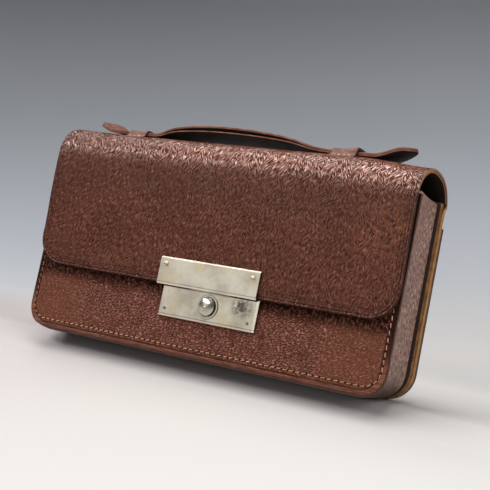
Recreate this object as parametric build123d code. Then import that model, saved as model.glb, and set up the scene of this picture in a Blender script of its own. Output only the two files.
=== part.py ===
from build123d import *
import os
from math import asin, atan, atan2, cos, degrees, radians, sin, tan

# Sewing bag: leather clutch with an arched crown, a front flap, a press lock and a sliding strap.
# Millimetres, +Z up, +X right, front at -Y. Origin at the middle of the flat base.

# Bag body
width = 220.0               # across the front, the flap and the back
base_depth = 36.7           # front face to pocket face, at the base
front_lean = 2.8            # degrees that the front leans back
back_lean = 2.0             # degrees that the back leans back
corner_radius = 14.0        # bottom corners, seen from the front
front_height = 99.0
back_height = 98.6
pocket_height = 87.0
lining_height = 97.0
divider_height = 85.0
gusset_front_height = 100.5
gusset_rear_height = 97.6
gusset_inset = 1.5          # gusset wall inside the edges of the front and back

# Leather and cloth
front_leather = 1.3
welt_leather = 1.0
welt_width = 6.0
gusset_leather = 1.2
flange_width = 6.5
back_leather = 3.2          # back panel and back cover, each two glued plies
pocket_leather = 2.6
pocket_recess = 0.4         # hollowed inside the pocket, for flat papers
pocket_seam = 7.0
lining = 0.7
divider_leather = 1.6

# Flap
flap_gap = 0.5              # front face to flap lining
flap_lining = 0.8
flap_leather = 1.3
flap_bottom = 37.0
flap_corner = 15.5
crown_height = 115.0
crown_front_radius = 15.0
crease_height = 98.8        # axis of the fold at the back
crease_overhang = 2.0       # fold axis behind the back cover
crease_lip_height = 5.0     # roll of the cover's top edge
front_fold_height = 98.5    # axis of the fold at the front, up the front face
fold_gap = 0.4              # between pieces either side of a fold

# Press lock, in the front face: x, up the face, and out from it
lock_x = 7.4
lock_width = 58.8
lock_bottom = 20.0
lock_top = 36.3
lock_wall = 0.6
lock_rim = 1.2              # side walls of the pressed tray
lock_bevel = 0.9
neck_width = 24.0           # raised part under the upper plate, with the slot
neck_top = 46.2
window_width = 20.0
window_bottom = 22.0
window_top = 45.4
backing_margin = 2.5        # backing plate above the window
backing_thickness = 0.6
case_margin = 3.0           # case outside the window
case_wall = 0.8
case_depth = 4.3            # behind the backing plate, outside
nail_inset = 4.0
nail_head = 0.8             # radius
nail_post = 1.6             # radius of the boss inside the tray
nail_head_height = 0.2
nail_shank = 0.5
nail_clinch = 0.4

hasp_x = 5.4
hasp_width = 60.8
hasp_bottom = 36.0
hasp_height = 14.5
hasp_plate_thickness = 1.6
hasp_bevel = 0.8
rivet_inset = 3.7
rivet_dome = 1.25           # radius
rivet_shank = 0.7
rivet_burr = 1.9
rivet_burr_thickness = 0.4

tongue_low = 38.6
tongue_height = 2.2
tongue_neck = 2.4           # width
tongue_head = 4.4
tongue_depth = 3.4          # reach behind the front face
head_depth = 1.9
barb_depth = 0.63           # straight part of the arrow head's sides
slot_clearance = 0.4
slot_rise = 4.0             # room for the tongue to rise as the flap swings

button_x = 8.0
button_up = 28.5
button_radius = 4.6
button_reach = 5.0          # top of the dome, out from the front face
button_shoulder = 3.7
button_travel = 1.5
button_flange = 0.6
button_ring = 0.4
button_ring_width = 1.2
stem_size = 3.0
ramp_angle = 45.0
slide_width = 4.0
slide_thickness = 0.8
slide_tip = 36.9
slide_tip_width = 3.0
slide_block_top = 33.0
catch_strip = 0.4
catch_low = 37.5
catch_high = 42.0
catch_lip_gap = 3.0

# Strap
seat_y = 0.65               # middle of the strap, on the crown
strap_neck = 9.6
strap_width = 15.0
strap_grip_thickness = 1.0
strap_lining_thickness = 0.8
strap_rise = 5.6            # underside of the lower ply above the crown, at the top of its bow
ply_gap = 1.9               # between the plies there
bow_x = -11.0               # top of the bow
left_scarf = -57.4          # where the left end joins the bow
right_scarf = 51.6
left_keeper_out = -73.0
left_keeper_in = -61.0
right_keeper_in = 55.0
right_keeper_out = 69.0
left_draw = 2.7             # travel of the left end
right_draw = 9.2
left_paddle = 22.5          # length beyond the shoulder
right_paddle = 20.5
left_paddle_angle = 16.0
right_paddle_angle = 19.0
paddle_width = 14.4
paddle_bend = 30.0          # radius
paddle_shoulder_share = 0.88  # width at the shoulder, of the full width
paddle_middle_share = 0.45  # full width is reached here, of the length
paddle_tip_share = 0.55     # tip radius, of half the width
bow_foot_share = 0.2        # of the bow's curve that lifts it off the crown
scarf_angle = 45.0
keeper_leather = 1.0
keeper_foot = 3.8

# Stitching
stitch_pitch = 3.45
stitch_length = 2.4
stitch_thread = 0.6
stitch_proud = 0.2
stitch_side_inset = 2.7
stitch_bottom_inset = 5.7
stitch_corner = 9.0
keeper_stitch_pitch = 2.8
keeper_stitch_length = 1.8

# Clearances
joint_gap = 0.3             # between pieces that move past each other
reach = 3 * width           # longer than anything, for cutting solids

half_width = width / 2
front_tilt = radians(front_lean)
back_tilt = radians(back_lean)
front_face = Plane(
    origin=(0, -base_depth / 2, 0), x_dir=(1, 0, 0), z_dir=(0, -cos(front_tilt), sin(front_tilt))
)
back_face = Plane(
    origin=(0, base_depth / 2, 0), x_dir=(-1, 0, 0), z_dir=(0, cos(back_tilt), -sin(back_tilt))
)
welt_back = front_leather + welt_leather
flange_back = welt_back + gusset_leather
front_inside = flange_back + lining
back_stack = pocket_leather + 2 * back_leather
back_inside = back_stack + gusset_leather + lining
flap_inner = flap_gap + flap_lining
flap_proud = flap_inner + flap_leather
lock_proud = flap_proud - slot_clearance    # the neck stands clear under the upper plate
gusset_half = half_width - gusset_inset
gusset_corner = corner_radius - gusset_inset / 2


def outline(half, low, high, radius):
    """An upright sheet outline with round bottom corners, drawn in its own plane."""
    sketch = Pos(0, (low + high) / 2) * Rectangle(2 * half, high - low)
    return fillet(sketch.vertices().group_by(Axis.Y)[0], radius)


def through(sketch):
    """A sketch of the front view, run right through the bag from front to back."""
    return extrude(Plane.XZ * sketch, amount=reach, both=True)


def along(sketch, half):
    """A sketch of the side view (y, z), run along the bag to both sides."""
    return extrude(Plane.YZ * sketch, amount=half, both=True)


def layer(face, low, high):
    """The space between two distances out from a face."""
    return face * Pos(0, 0, (low + high) / 2) * Box(reach, reach, high - low)


def block(face, x, up, out):
    """A block given by its limits along x, up the face and out from it."""
    size = [limits[1] - limits[0] for limits in (x, up, out)]
    middle = [(limits[0] + limits[1]) / 2 for limits in (x, up, out)]
    return face * Pos(*middle) * Box(*size)


def centred(middle, size):
    """Limits of a size about a middle."""
    return (middle - size / 2, middle + size / 2)


def save(name, shape):
    """One file for one named piece."""
    solids = shape.solids()
    export_step(solids[0] if len(solids) == 1 else Compound(children=solids), f"parts/{name}.step")


# Bag body
inside_lining = outline(
    gusset_half - gusset_leather, gusset_leather, lining_height, gusset_corner - gusset_leather
)
inside_cloth = outline(
    gusset_half - gusset_leather - lining,
    gusset_leather + lining,
    lining_height,
    gusset_corner - gusset_leather - lining,
)
sheet_outline = outline(half_width, 0, front_height, corner_radius)


def between_walls(front_out, back_out):
    """The space behind the front face and before the back face."""
    return layer(front_face, -reach / 2, -front_out) & layer(back_face, -reach / 2, -back_out)


def lock_window(margin):
    """The opening for the lock's works, right through the front wall."""
    return block(
        front_face,
        centred(lock_x, window_width + 2 * margin),
        (window_bottom - margin, window_top + margin),
        (-base_depth / 2, base_depth / 2),
    )


def make_front_panel():
    sheet = through(sheet_outline) & layer(front_face, -front_leather, 0)
    nails = [nail_bar(nail_shank + joint_gap / 2, at) for at in nail_places]
    return sheet - lock_window(0) - nails


def make_front_welt():
    inner = outline(half_width - welt_width, welt_width, front_height, corner_radius - welt_width)
    ring = through(sheet_outline) - through(inner)
    return ring & layer(front_face, -welt_back, -front_leather)


def make_gusset():
    """A strip round sides and bottom, with its edges turned in along the front and back."""
    high = gusset_front_height + gusset_leather
    outer = through(outline(gusset_half, 0, high, gusset_corner))
    wall = outer - through(
        outline(gusset_half - gusset_leather, gusset_leather, high, gusset_corner - gusset_leather)
    )
    flange = outer - through(
        outline(gusset_half - flange_width, flange_width, high, gusset_corner - flange_width)
    )
    front_flange = flange & layer(front_face, -flange_back, -welt_back)
    back_flange = flange & layer(back_face, -back_stack - gusset_leather, -back_stack)
    strip = (wall & between_walls(welt_back, back_stack)) + front_flange + back_flange
    front_y = front_face.origin.Y
    back_y = back_face.origin.Y
    below_mouth = along(
        make_face(
            Polyline(
                (front_y, 0), (back_y, 0), (back_y, gusset_rear_height),
                (front_y + flange_back, gusset_front_height), (front_y, gusset_front_height), close=True,
            )
        ),
        half_width,
    )
    return strip & below_mouth


def make_gusset_lining():
    ring = through(inside_lining) - through(inside_cloth)
    return ring & between_walls(front_inside, back_inside)


def make_front_lining():
    sheet = through(inside_lining) & layer(front_face, -front_inside, -flange_back)
    return sheet - lock_window(case_margin + joint_gap)


def make_divider():
    middle_y = (front_inside - back_inside) / 2
    lean = (front_tilt + back_tilt) / 2
    face = Plane(origin=(0, middle_y, 0), x_dir=(1, 0, 0), z_dir=(0, -cos(lean), sin(lean)))
    low = block(face, (-half_width, half_width), (0, divider_height), centred(0, divider_leather))
    return through(inside_cloth) & low


def make_back_panel():
    edge = through(outline(half_width, 0, back_height, corner_radius))
    return edge & layer(back_face, -back_stack, -pocket_leather - back_leather)


def make_back_lining():
    return through(inside_lining) & layer(back_face, -back_inside, -back_stack - gusset_leather)


def make_back_cover():
    """The flap's leather down the back, with its top edge rolled out to the crease."""
    edge = through(outline(half_width, 0, back_height, corner_radius))
    sheet = edge & layer(back_face, -pocket_leather - back_leather, -pocket_leather)
    foot = back_height - crease_lip_height
    lip = along(
        make_face(
            Polyline(
                (cover_y(back_height) - back_leather / 2, back_height),
                (crease_y - fold_gap / 2, back_height),
                (cover_y(foot), foot),
                (cover_y(foot) - back_leather / 2, foot),
                close=True,
            )
        ),
        half_width,
    )
    return sheet + lip


def make_back_pocket():
    shape = outline(half_width, 0, pocket_height, corner_radius)
    hollow = outline(
        half_width - pocket_seam, pocket_seam, pocket_height + pocket_seam, corner_radius - pocket_seam
    )
    sheet = through(shape) & layer(back_face, -pocket_leather, 0)
    return sheet - (through(hollow) & layer(back_face, -pocket_leather, -pocket_leather + pocket_recess))


def stitch_row(face, top):
    """Straight stitches along a seam down one side, round the bottom and up the other side."""
    side = half_width - stitch_side_inset
    seam = FilletPolyline(
        (-side, top), (-side, stitch_bottom_inset), (side, stitch_bottom_inset), (side, top),
        radius=stitch_corner,
    )
    count = int(seam.length / stitch_pitch)
    rows = []
    for i in range(count):
        u = (i + 0.5) / count
        place, run = seam @ u, seam % u
        turn = degrees(atan2(run.Y, run.X))
        stitch = Box(stitch_length, stitch_thread, stitch_proud)
        rows.append(face * Pos(place.X, place.Y, stitch_proud / 2) * Rot(0, 0, turn) * stitch)
    return Compound(children=rows)


# Flap
flap_plane_y = front_face.origin.Y - flap_proud / cos(front_tilt)
arch_z = crown_height - crown_front_radius
arch_y = flap_plane_y + arch_z * tan(front_tilt) + crown_front_radius / cos(front_tilt)


def cover_y(z):
    """The back cover's outer face at a height."""
    return back_face.origin.Y - pocket_leather / cos(back_tilt) + z * tan(back_tilt)


crease_y = cover_y(crease_height) + crease_overhang
crease_run = crease_y - arch_y
crease_drop = crown_height - crease_height
crown_rear_radius = (crease_run**2 + crease_drop**2) / (2 * crease_drop)
rear_z = crown_height - crown_rear_radius
crease_angle = atan2(crease_height - rear_z, crease_run)


def under_crown(depth):
    """Everything under a skin at a depth inside the crown's outer face: the front plane and two arcs."""
    front = crown_front_radius - depth
    rear = crown_rear_radius - depth
    low = flap_bottom

    def on_front(angle):
        return (arch_y + front * cos(angle), arch_z + front * sin(angle))

    def on_rear(angle):
        return (arch_y + rear * cos(angle), rear_z + rear * sin(angle))

    top = radians(90)
    start_angle = radians(180) - front_tilt
    start, apex, end = on_front(start_angle), on_front(top), on_rear(crease_angle)
    foot = (start[0] - (start[1] - low) * tan(front_tilt), low)
    lines = [
        Line(foot, start),
        ThreePointArc(start, on_front((start_angle + top) / 2), apex),
        ThreePointArc(apex, on_rear((top + crease_angle) / 2), end),
        Line(end, (end[0], low)),
        Line((end[0], low), foot),
    ]
    return along(make_face(lines), half_width)


def crown_ends():
    """What is cut away below the two folds."""
    front_wall = block(
        front_face,
        (-reach / 2, reach / 2),
        (-reach / 2, front_fold_height + fold_gap / 2),
        (-crown_front_radius / 2, crown_front_radius / 2),
    )
    rear = Pos(0, arch_y + reach / 2, crease_height + fold_gap / 2 - reach / 2) * Box(reach, reach, reach)
    return [front_wall, rear]


def make_flap_crown():
    return under_crown(0) - under_crown(flap_leather) - crown_ends()


def make_flap_crown_lining():
    return under_crown(flap_leather) - under_crown(flap_leather + flap_lining) - crown_ends()


def flap_sheet(low, high):
    """A sheet of the flap's front, cut out where the lock's neck stands."""
    edge = through(outline(half_width, flap_bottom, crown_height, flap_corner))
    sheet = edge & layer(front_face, low, high)
    above = block(
        front_face,
        (-reach / 2, reach / 2),
        (front_fold_height - fold_gap / 2, reach / 2),
        (-crown_front_radius, crown_front_radius),
    )
    neck = block(
        front_face,
        centred(lock_x, neck_width + 2 * slot_clearance),
        (0, neck_top + 2 * slot_clearance),
        (-crown_front_radius, crown_front_radius),
    )
    rivets = [rivet_bar(rivet_shank, at) for at in rivet_places]
    return sheet - above - neck - rivets


def make_flap_front():
    return flap_sheet(flap_inner, flap_proud)


def make_flap_front_lining():
    burrs = [
        block_disc(at, rivet_burr, flap_gap, flap_gap + rivet_burr_thickness) for at in rivet_places
    ]
    return flap_sheet(flap_gap, flap_inner) - burrs


# Press lock
nail_places = [
    (lock_x + side * (lock_width / 2 - nail_inset), lock_bottom + nail_inset) for side in (-1, 1)
]
rivet_places = [
    (hasp_x + side * (hasp_width / 2 - rivet_inset), hasp_bottom + hasp_height - rivet_inset)
    for side in (-1, 1)
]
plate_inner = lock_proud - lock_wall
case_front = front_leather + backing_thickness
case_back = case_front + case_depth
tongue_top = tongue_low + tongue_height
ramp_depth = case_back - case_wall - joint_gap - button_travel - stem_size / 2


def block_disc(at, radius, low, high):
    """A disc on the front face, between two distances out."""
    return front_face * Pos(*at, (low + high) / 2) * Cylinder(radius, high - low)


def nail_bar(radius, at):
    return block_disc(at, radius, -case_front - nail_clinch, lock_proud)


def rivet_bar(radius, at):
    return block_disc(at, radius, flap_gap, flap_proud + hasp_plate_thickness)


def make_lock_plate():
    """A pressed tray with a bevelled face, and a raised neck with the tongue's slot."""
    tray = Pos(lock_x, (lock_bottom + lock_top) / 2, lock_proud / 2) * Box(
        lock_width, lock_top - lock_bottom, lock_proud
    )
    rim = tray.faces().sort_by(Axis.Z)[-1].edges()
    tray = front_face * chamfer(rim, lock_bevel)
    neck = block(front_face, centred(lock_x, neck_width), (lock_top - lock_wall, neck_top), (0, lock_proud))
    hollow = block(
        front_face,
        centred(lock_x, lock_width - 2 * lock_rim),
        (lock_bottom + lock_rim, lock_top - lock_rim),
        (-lock_wall, plate_inner),
    )
    neck_hollow = block(
        front_face,
        centred(lock_x, neck_width - 2 * lock_wall),
        (lock_top - 2 * lock_rim, neck_top - lock_wall),
        (-lock_wall, plate_inner),
    )
    slot = block(
        front_face,
        centred(lock_x, tongue_head + 2 * slot_clearance),
        (tongue_low - slot_clearance, tongue_top + slot_rise),
        (0, 2 * lock_proud),
    )
    at = (button_x, button_up)
    ring_radius = button_radius + joint_gap + button_ring_width
    ring = block_disc(at, ring_radius, plate_inner, lock_proud + button_ring)
    hole = block_disc(at, button_radius + joint_gap, -lock_wall, 2 * lock_proud)
    posts = [block_disc(place, nail_post, 0, plate_inner) for place in nail_places]
    nails = [nail_bar(nail_shank, place) for place in nail_places]
    return tray + neck - hollow - neck_hollow + ring + posts - slot - hole - nails


def make_lock_backing():
    plate = block(
        front_face,
        centred(lock_x, lock_width - backing_margin),
        (lock_bottom, window_top + backing_margin),
        (-case_front, -front_leather),
    )
    nails = [nail_bar(nail_shank, place) for place in nail_places]
    return plate - lock_window(0) - nails


def make_lock_case():
    """A tray welded behind the backing plate, open towards the window."""
    width_limits = centred(lock_x, window_width + 2 * case_margin)
    up_limits = (window_bottom - case_margin, window_top + case_margin)
    outer = block(front_face, width_limits, up_limits, (-case_back, -case_front))
    inner = block(
        front_face,
        (width_limits[0] + case_wall, width_limits[1] - case_wall),
        (up_limits[0] + case_wall, up_limits[1] - case_wall),
        (-case_back + case_wall, 0),
    )
    return outer - inner


def make_lock_nails():
    nails = []
    for at in nail_places:
        head = block_disc(at, nail_head, lock_proud, lock_proud + nail_head_height)
        shank = nail_bar(nail_shank, at)
        clinch = block_disc(at, nail_head, -case_front - nail_clinch, -case_front)
        nails.append(head + shank + clinch)
    return Compound(children=nails)


def ramp(up_shift):
    """The half-space above the line out = up, which is the wedge between stem and slide."""
    return (
        front_face
        * Pos(button_x, button_up + up_shift, -ramp_depth)
        * Rot(-ramp_angle, 0, 0)
        * Pos(0, reach / 2, 0)
        * Box(reach, reach, reach)
    )


def make_lock_button():
    """A domed head, a flange that stops behind the plate, and a square stem with a wedge end."""
    at = (button_x, button_up)
    dome_rise = button_reach - button_shoulder
    dome_radius = (button_radius**2 + dome_rise**2) / (2 * dome_rise)
    head = block_disc(at, button_radius, plate_inner - joint_gap, button_reach)
    dome = front_face * Pos(*at, button_reach - dome_radius) * Sphere(dome_radius)
    flange_top = plate_inner - joint_gap
    flange = block_disc(at, button_radius + joint_gap + lock_wall, flange_top - button_flange, flange_top)
    stem = block(
        front_face,
        centred(button_x, stem_size),
        centred(button_up, stem_size),
        (-case_back, flange_top),
    )
    return (head & dome) + flange + (stem - ramp(0))


def make_release_slide():
    """A slide behind the stem: its block rests on the wedge and its tip spreads the spring catch."""
    back = case_back - case_wall - joint_gap
    shift = joint_gap / cos(radians(ramp_angle))
    foot = block(
        front_face,
        centred(button_x, slide_width),
        (button_up - stem_size / 2 + joint_gap, slide_block_top),
        (-back, -front_leather + joint_gap),
    )
    bar = block(
        front_face,
        centred(button_x, slide_width),
        (slide_block_top - slide_thickness, slide_tip),
        (-back, -back + slide_thickness),
    )
    shoulder_up = slide_tip - slide_width / 2
    taper = (slide_width - slide_tip_width) / 2
    wedge = atan(taper / (slide_tip - shoulder_up))
    corners = [
        front_face
        * Pos(button_x + side * slide_width / 2, slide_tip, -back + slide_thickness / 2)
        * Rot(0, 0, side * degrees(wedge))
        * Box(2 * taper * cos(wedge), 2 * slide_width, 2 * slide_thickness)
        for side in (-1, 1)
    ]
    return (foot & ramp(shift)) + (bar - corners)


def make_spring_catch():
    """A hairpin strip: a base on the case, two leaves and lips that close in front of the head."""
    back = case_back - case_wall
    leaf_x = tongue_head / 2 + joint_gap
    lip_out = head_depth - tongue_depth + joint_gap
    up = (catch_low, catch_high)
    pieces = block(
        front_face,
        centred(lock_x, 2 * (leaf_x + catch_strip)),
        (slide_tip + button_travel + joint_gap, catch_high),
        (-back, -back + catch_strip),
    )
    for side in (-1, 1):
        leaf = sorted((lock_x + side * leaf_x, lock_x + side * (leaf_x + catch_strip)))
        lip = sorted((lock_x + side * catch_lip_gap / 2, lock_x + side * (leaf_x + catch_strip)))
        pieces = pieces + block(front_face, leaf, up, (-back, lip_out + catch_strip))
        pieces = pieces + block(front_face, lip, up, (lip_out, lip_out + catch_strip))
    return pieces


def make_hasp_plate():
    low = flap_proud
    plate = Pos(hasp_x, hasp_bottom + hasp_height / 2, low + hasp_plate_thickness / 2) * Box(
        hasp_width, hasp_height, hasp_plate_thickness
    )
    long_edges = plate.faces().sort_by(Axis.Z)[-1].edges().filter_by(Axis.X)
    plate = front_face * chamfer(long_edges, hasp_bevel)
    return plate - [rivet_bar(rivet_shank, at) for at in rivet_places]


def make_hasp_rivets():
    rivets = []
    top = flap_proud + hasp_plate_thickness
    for at in rivet_places:
        dome = front_face * Pos(*at, top) * Sphere(rivet_dome)
        head = dome & layer(front_face, top, top + rivet_dome)
        burr = block_disc(at, rivet_burr, flap_gap, flap_gap + rivet_burr_thickness)
        rivets.append(head + rivet_bar(rivet_shank, at) + burr)
    return Compound(children=rivets)


def make_hasp_tongue():
    """A flat tongue behind the upper plate, with an arrow head for the spring catch."""
    half_neck, half_head = tongue_neck / 2, tongue_head / 2
    shoulder = head_depth - tongue_depth
    nose = half_head / 2
    arrow = shoulder - barb_depth
    shape = make_face(
        Polyline(
            (-half_neck, flap_proud), (-half_neck, shoulder), (-half_head, shoulder), (-half_head, arrow),
            (-nose, -tongue_depth), (nose, -tongue_depth), (half_head, arrow), (half_head, shoulder),
            (half_neck, shoulder), (half_neck, flap_proud), close=True,
        )
    )
    tongue = extrude(Plane.XZ * shape, amount=-tongue_height)
    return front_face * Pos(lock_x, tongue_low, 0) * tongue


# Strap, in the crown's seat: x, back across the crown, and out from it
seat_angle = asin((seat_y - arch_y) / crown_rear_radius)
seat = Plane(
    origin=(0, seat_y, rear_z + crown_rear_radius * cos(seat_angle)),
    x_dir=(1, 0, 0),
    z_dir=(0, sin(seat_angle), cos(seat_angle)),
)
strap_thickness = strap_grip_thickness + strap_lining_thickness
tunnel_half = strap_neck / 2 + joint_gap
tunnel_height = strap_thickness + 2 * joint_gap
left_shoulder = left_keeper_out - left_draw - joint_gap
right_shoulder = right_keeper_out + right_draw + joint_gap


def strap_plan(sketch):
    """A plan outline run through the strap from below to above."""
    return extrude(sketch, amount=reach, both=True)


def side_band(lines):
    """A side view of the strap (x, height), run across its width."""
    return extrude(Plane.XZ * make_face(lines), amount=strap_width, both=True)


def bent_band(start, bend, length, angle, side):
    """A strip that lies flat from start to bend and then turns up by an angle."""
    low, high = joint_gap, joint_gap + strap_thickness
    turn = radians(angle)
    outer, inner = paddle_bend, paddle_bend - strap_thickness

    def bent(radius, part):
        return (bend + side * radius * sin(part), low + paddle_bend - radius * cos(part))

    def beyond(radius):
        x, z = bent(radius, turn)
        return (x + side * length * cos(turn), z + length * sin(turn))

    return side_band([
        Line((start, low), (bend, low)),
        ThreePointArc((bend, low), bent(outer, turn / 2), bent(outer, turn)),
        Line(bent(outer, turn), beyond(outer)),
        Line(beyond(outer), beyond(inner)),
        Line(beyond(inner), bent(inner, turn)),
        ThreePointArc(bent(inner, turn), bent(inner, turn / 2), (bend, high)),
        Line((bend, high), (start, high)),
        Line((start, high), (start, low)),
    ])


def bow_side(end_x, end_z, top_z):
    """Two tangent arcs from a flat end up to the flat top of the bow, as (short arc, long arc)."""
    run, rise = bow_x - end_x, top_z - end_z
    side = 1 if run > 0 else -1
    turn = 2 * atan(rise / abs(run))
    total = abs(run) / sin(turn)
    short = total * bow_foot_share
    long = total - short

    def near(part):
        return (end_x + side * short * sin(part), end_z + short * (1 - cos(part)))

    def far(part):
        return (bow_x - side * long * sin(part), top_z - long * (1 - cos(part)))

    return (
        ThreePointArc(near(0), near(turn / 2), near(turn)),
        ThreePointArc(far(turn), far(turn / 2), far(0)),
    )


def bowed_band(low, thickness, top):
    """A ply that rises from both scarfs to the top of the bow."""
    left, right = left_scarf - strap_thickness, right_scarf + strap_thickness
    high = low + thickness
    return side_band([
        *bow_side(left, low, top),
        *bow_side(right, low, top),
        Line((right, low), (right, high)),
        *bow_side(right, high, top + thickness),
        *bow_side(left, high, top + thickness),
        Line((left, high), (left, low)),
    ])


def scarf(x, side, keep):
    """One side of a slanted cut: keep is +1 for the bow's side and -1 for the flared end's side.
    side is +1 at the left end and -1 at the right end, so that the bow lies over both flared ends."""
    return (
        Pos(x, 0, joint_gap + strap_thickness / 2)
        * Rot(0, -side * scarf_angle, 0)
        * Pos(keep * side * (reach + joint_gap) / 2, 0, 0)
        * Box(reach, reach, reach)
    )


def paddle_plan(inner_x, shoulder, length, side):
    """Neck and leaf-shaped end: a shoulder, a full middle and a round tip."""
    neck, half = strap_neck / 2, paddle_width / 2
    tip = shoulder + side * length
    middle = shoulder + side * length * paddle_middle_share
    shoulder_half = half * paddle_shoulder_share
    cheek = shoulder + side * (shoulder_half - neck)
    tip_half = half * paddle_tip_share
    tip_start = tip - side * tip_half
    top = [
        Line((inner_x, neck), (shoulder, neck)),
        Line((shoulder, neck), (cheek, shoulder_half)),
        ThreePointArc((cheek, shoulder_half), (middle, half), (tip_start, tip_half)),
    ]
    bottom = [edge.mirror(Plane.XZ) for edge in top]
    end = [
        ThreePointArc((tip_start, tip_half), (tip, 0), (tip_start, -tip_half)),
        Line((inner_x, -neck), (inner_x, neck)),
    ]
    return strap_plan(make_face(top + bottom + end))


def make_strap_end(scarf_x, shoulder, length, angle, side):
    """A flared end with its neck, from the scarf out through the keeper to the tip."""
    inner = scarf_x - side * strap_thickness
    band = bent_band(inner, shoulder, 2 * length, angle, side)
    return seat * ((band & paddle_plan(inner, shoulder, length, side)) & scarf(scarf_x, -side, -1))


def grip_plan():
    """Full width over the hand's part, drawn in to the neck at both ends."""
    neck, half = strap_neck / 2, strap_width / 2
    left, right = left_scarf - strap_thickness, right_scarf + strap_thickness
    draw_in = strap_width
    top = [
        Line((left, neck), (left_scarf + strap_thickness, neck)),
        Spline(
            (left_scarf + strap_thickness, neck), (left_scarf + draw_in, half),
            tangents=[(1, 0), (1, 0)],
        ),
        Line((left_scarf + draw_in, half), (right_scarf - draw_in, half)),
        Spline(
            (right_scarf - draw_in, half), (right_scarf - strap_thickness, neck),
            tangents=[(1, 0), (1, 0)],
        ),
        Line((right_scarf - strap_thickness, neck), (right, neck)),
    ]
    bottom = [edge.mirror(Plane.XZ) for edge in top]
    ends = [Line((left, -neck), (left, neck)), Line((right, -neck), (right, neck))]
    return strap_plan(make_face(top + bottom + ends))


def make_ply(low, thickness, top):
    """One ply of the bow, cut to the scarfs at both ends."""
    ply = bowed_band(low, thickness, top) & grip_plan()
    return seat * (ply & scarf(left_scarf, 1, 1) & scarf(right_scarf, -1, 1))


def make_keeper(low_x, high_x):
    """A leather loop over the strap's neck with a sewn foot on each side."""
    middle, length = (low_x + high_x) / 2, high_x - low_x
    feet = 2 * (tunnel_half + keeper_leather + keeper_foot)
    top = tunnel_height + keeper_leather
    loop = Pos(middle, 0, 0) * Box(length, 2 * (tunnel_half + keeper_leather), 2 * top)
    shoulders = loop.edges().filter_by(Axis.X).group_by(Axis.Z)[-1]
    loop = seat * fillet(shoulders, keeper_leather)
    tunnel = seat * Pos(middle, 0, 0) * Box(2 * length, 2 * tunnel_half, 2 * tunnel_height)
    foot = seat * Pos(middle, 0, 0) * Box(length, feet, 4 * top)
    return loop + (foot & under_crown(-keeper_leather)) - tunnel - under_crown(0)


def make_keeper_stitches():
    """A short row of stitches on each foot of both keepers."""
    skin = under_crown(-keeper_leather - stitch_proud) - under_crown(-keeper_leather)
    row_y = tunnel_half + keeper_leather + keeper_foot / 2
    stitches = []
    for low_x, high_x in ((left_keeper_out, left_keeper_in), (right_keeper_in, right_keeper_out)):
        count = int((high_x - low_x) / keeper_stitch_pitch)
        for i in range(count):
            x = low_x + (i + 0.5) * (high_x - low_x) / count
            for side in (-1, 1):
                bar = Pos(x, side * row_y, 0) * Box(keeper_stitch_length, stitch_thread, crown_front_radius)
                stitches.extend((skin & (seat * bar)).solids())
    return Compound(children=stitches)


strap_low = joint_gap
strap_middle = strap_low + strap_lining_thickness
grip_low_top = strap_rise
grip_high_top = strap_rise + strap_lining_thickness + ply_gap

os.makedirs("parts", exist_ok=True)
save("front_panel", make_front_panel())
save("front_welt", make_front_welt())
save("gusset", make_gusset())
save("gusset_lining", make_gusset_lining())
save("front_lining", make_front_lining())
save("divider", make_divider())
save("back_panel", make_back_panel())
save("back_lining", make_back_lining())
save("back_cover", make_back_cover())
save("back_pocket", make_back_pocket())
save("front_stitches", stitch_row(front_face, front_height - stitch_bottom_inset))
save("back_stitches", stitch_row(back_face, pocket_height - stitch_bottom_inset))
save("lock_plate", make_lock_plate())
save("lock_backing", make_lock_backing())
save("lock_case", make_lock_case())
save("lock_nails", make_lock_nails())
save("lock_button", make_lock_button())
save("release_slide", make_release_slide())
save("spring_catch", make_spring_catch())
save("flap_crown", make_flap_crown())
save("flap_crown_lining", make_flap_crown_lining())
save("flap_front", make_flap_front())
save("flap_front_lining", make_flap_front_lining())
save("hasp_plate", make_hasp_plate())
save("hasp_rivets", make_hasp_rivets())
save("hasp_tongue", make_hasp_tongue())
save("left_keeper", make_keeper(left_keeper_out, left_keeper_in))
save("right_keeper", make_keeper(right_keeper_in, right_keeper_out))
save("keeper_stitches", make_keeper_stitches())
save("strap_left_tab", make_strap_end(left_scarf, left_shoulder, left_paddle, left_paddle_angle, -1))
save("strap_right_tab", make_strap_end(right_scarf, right_shoulder, right_paddle, right_paddle_angle, 1))
save("strap_grip", make_ply(strap_middle, strap_grip_thickness, grip_high_top))
save("strap_grip_lining", make_ply(strap_low, strap_lining_thickness, grip_low_top))
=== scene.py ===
from math import asin, cos, pi, radians, sin, tan

import bmesh
import bpy
import numpy as np
from mathutils import Matrix, Vector


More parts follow.
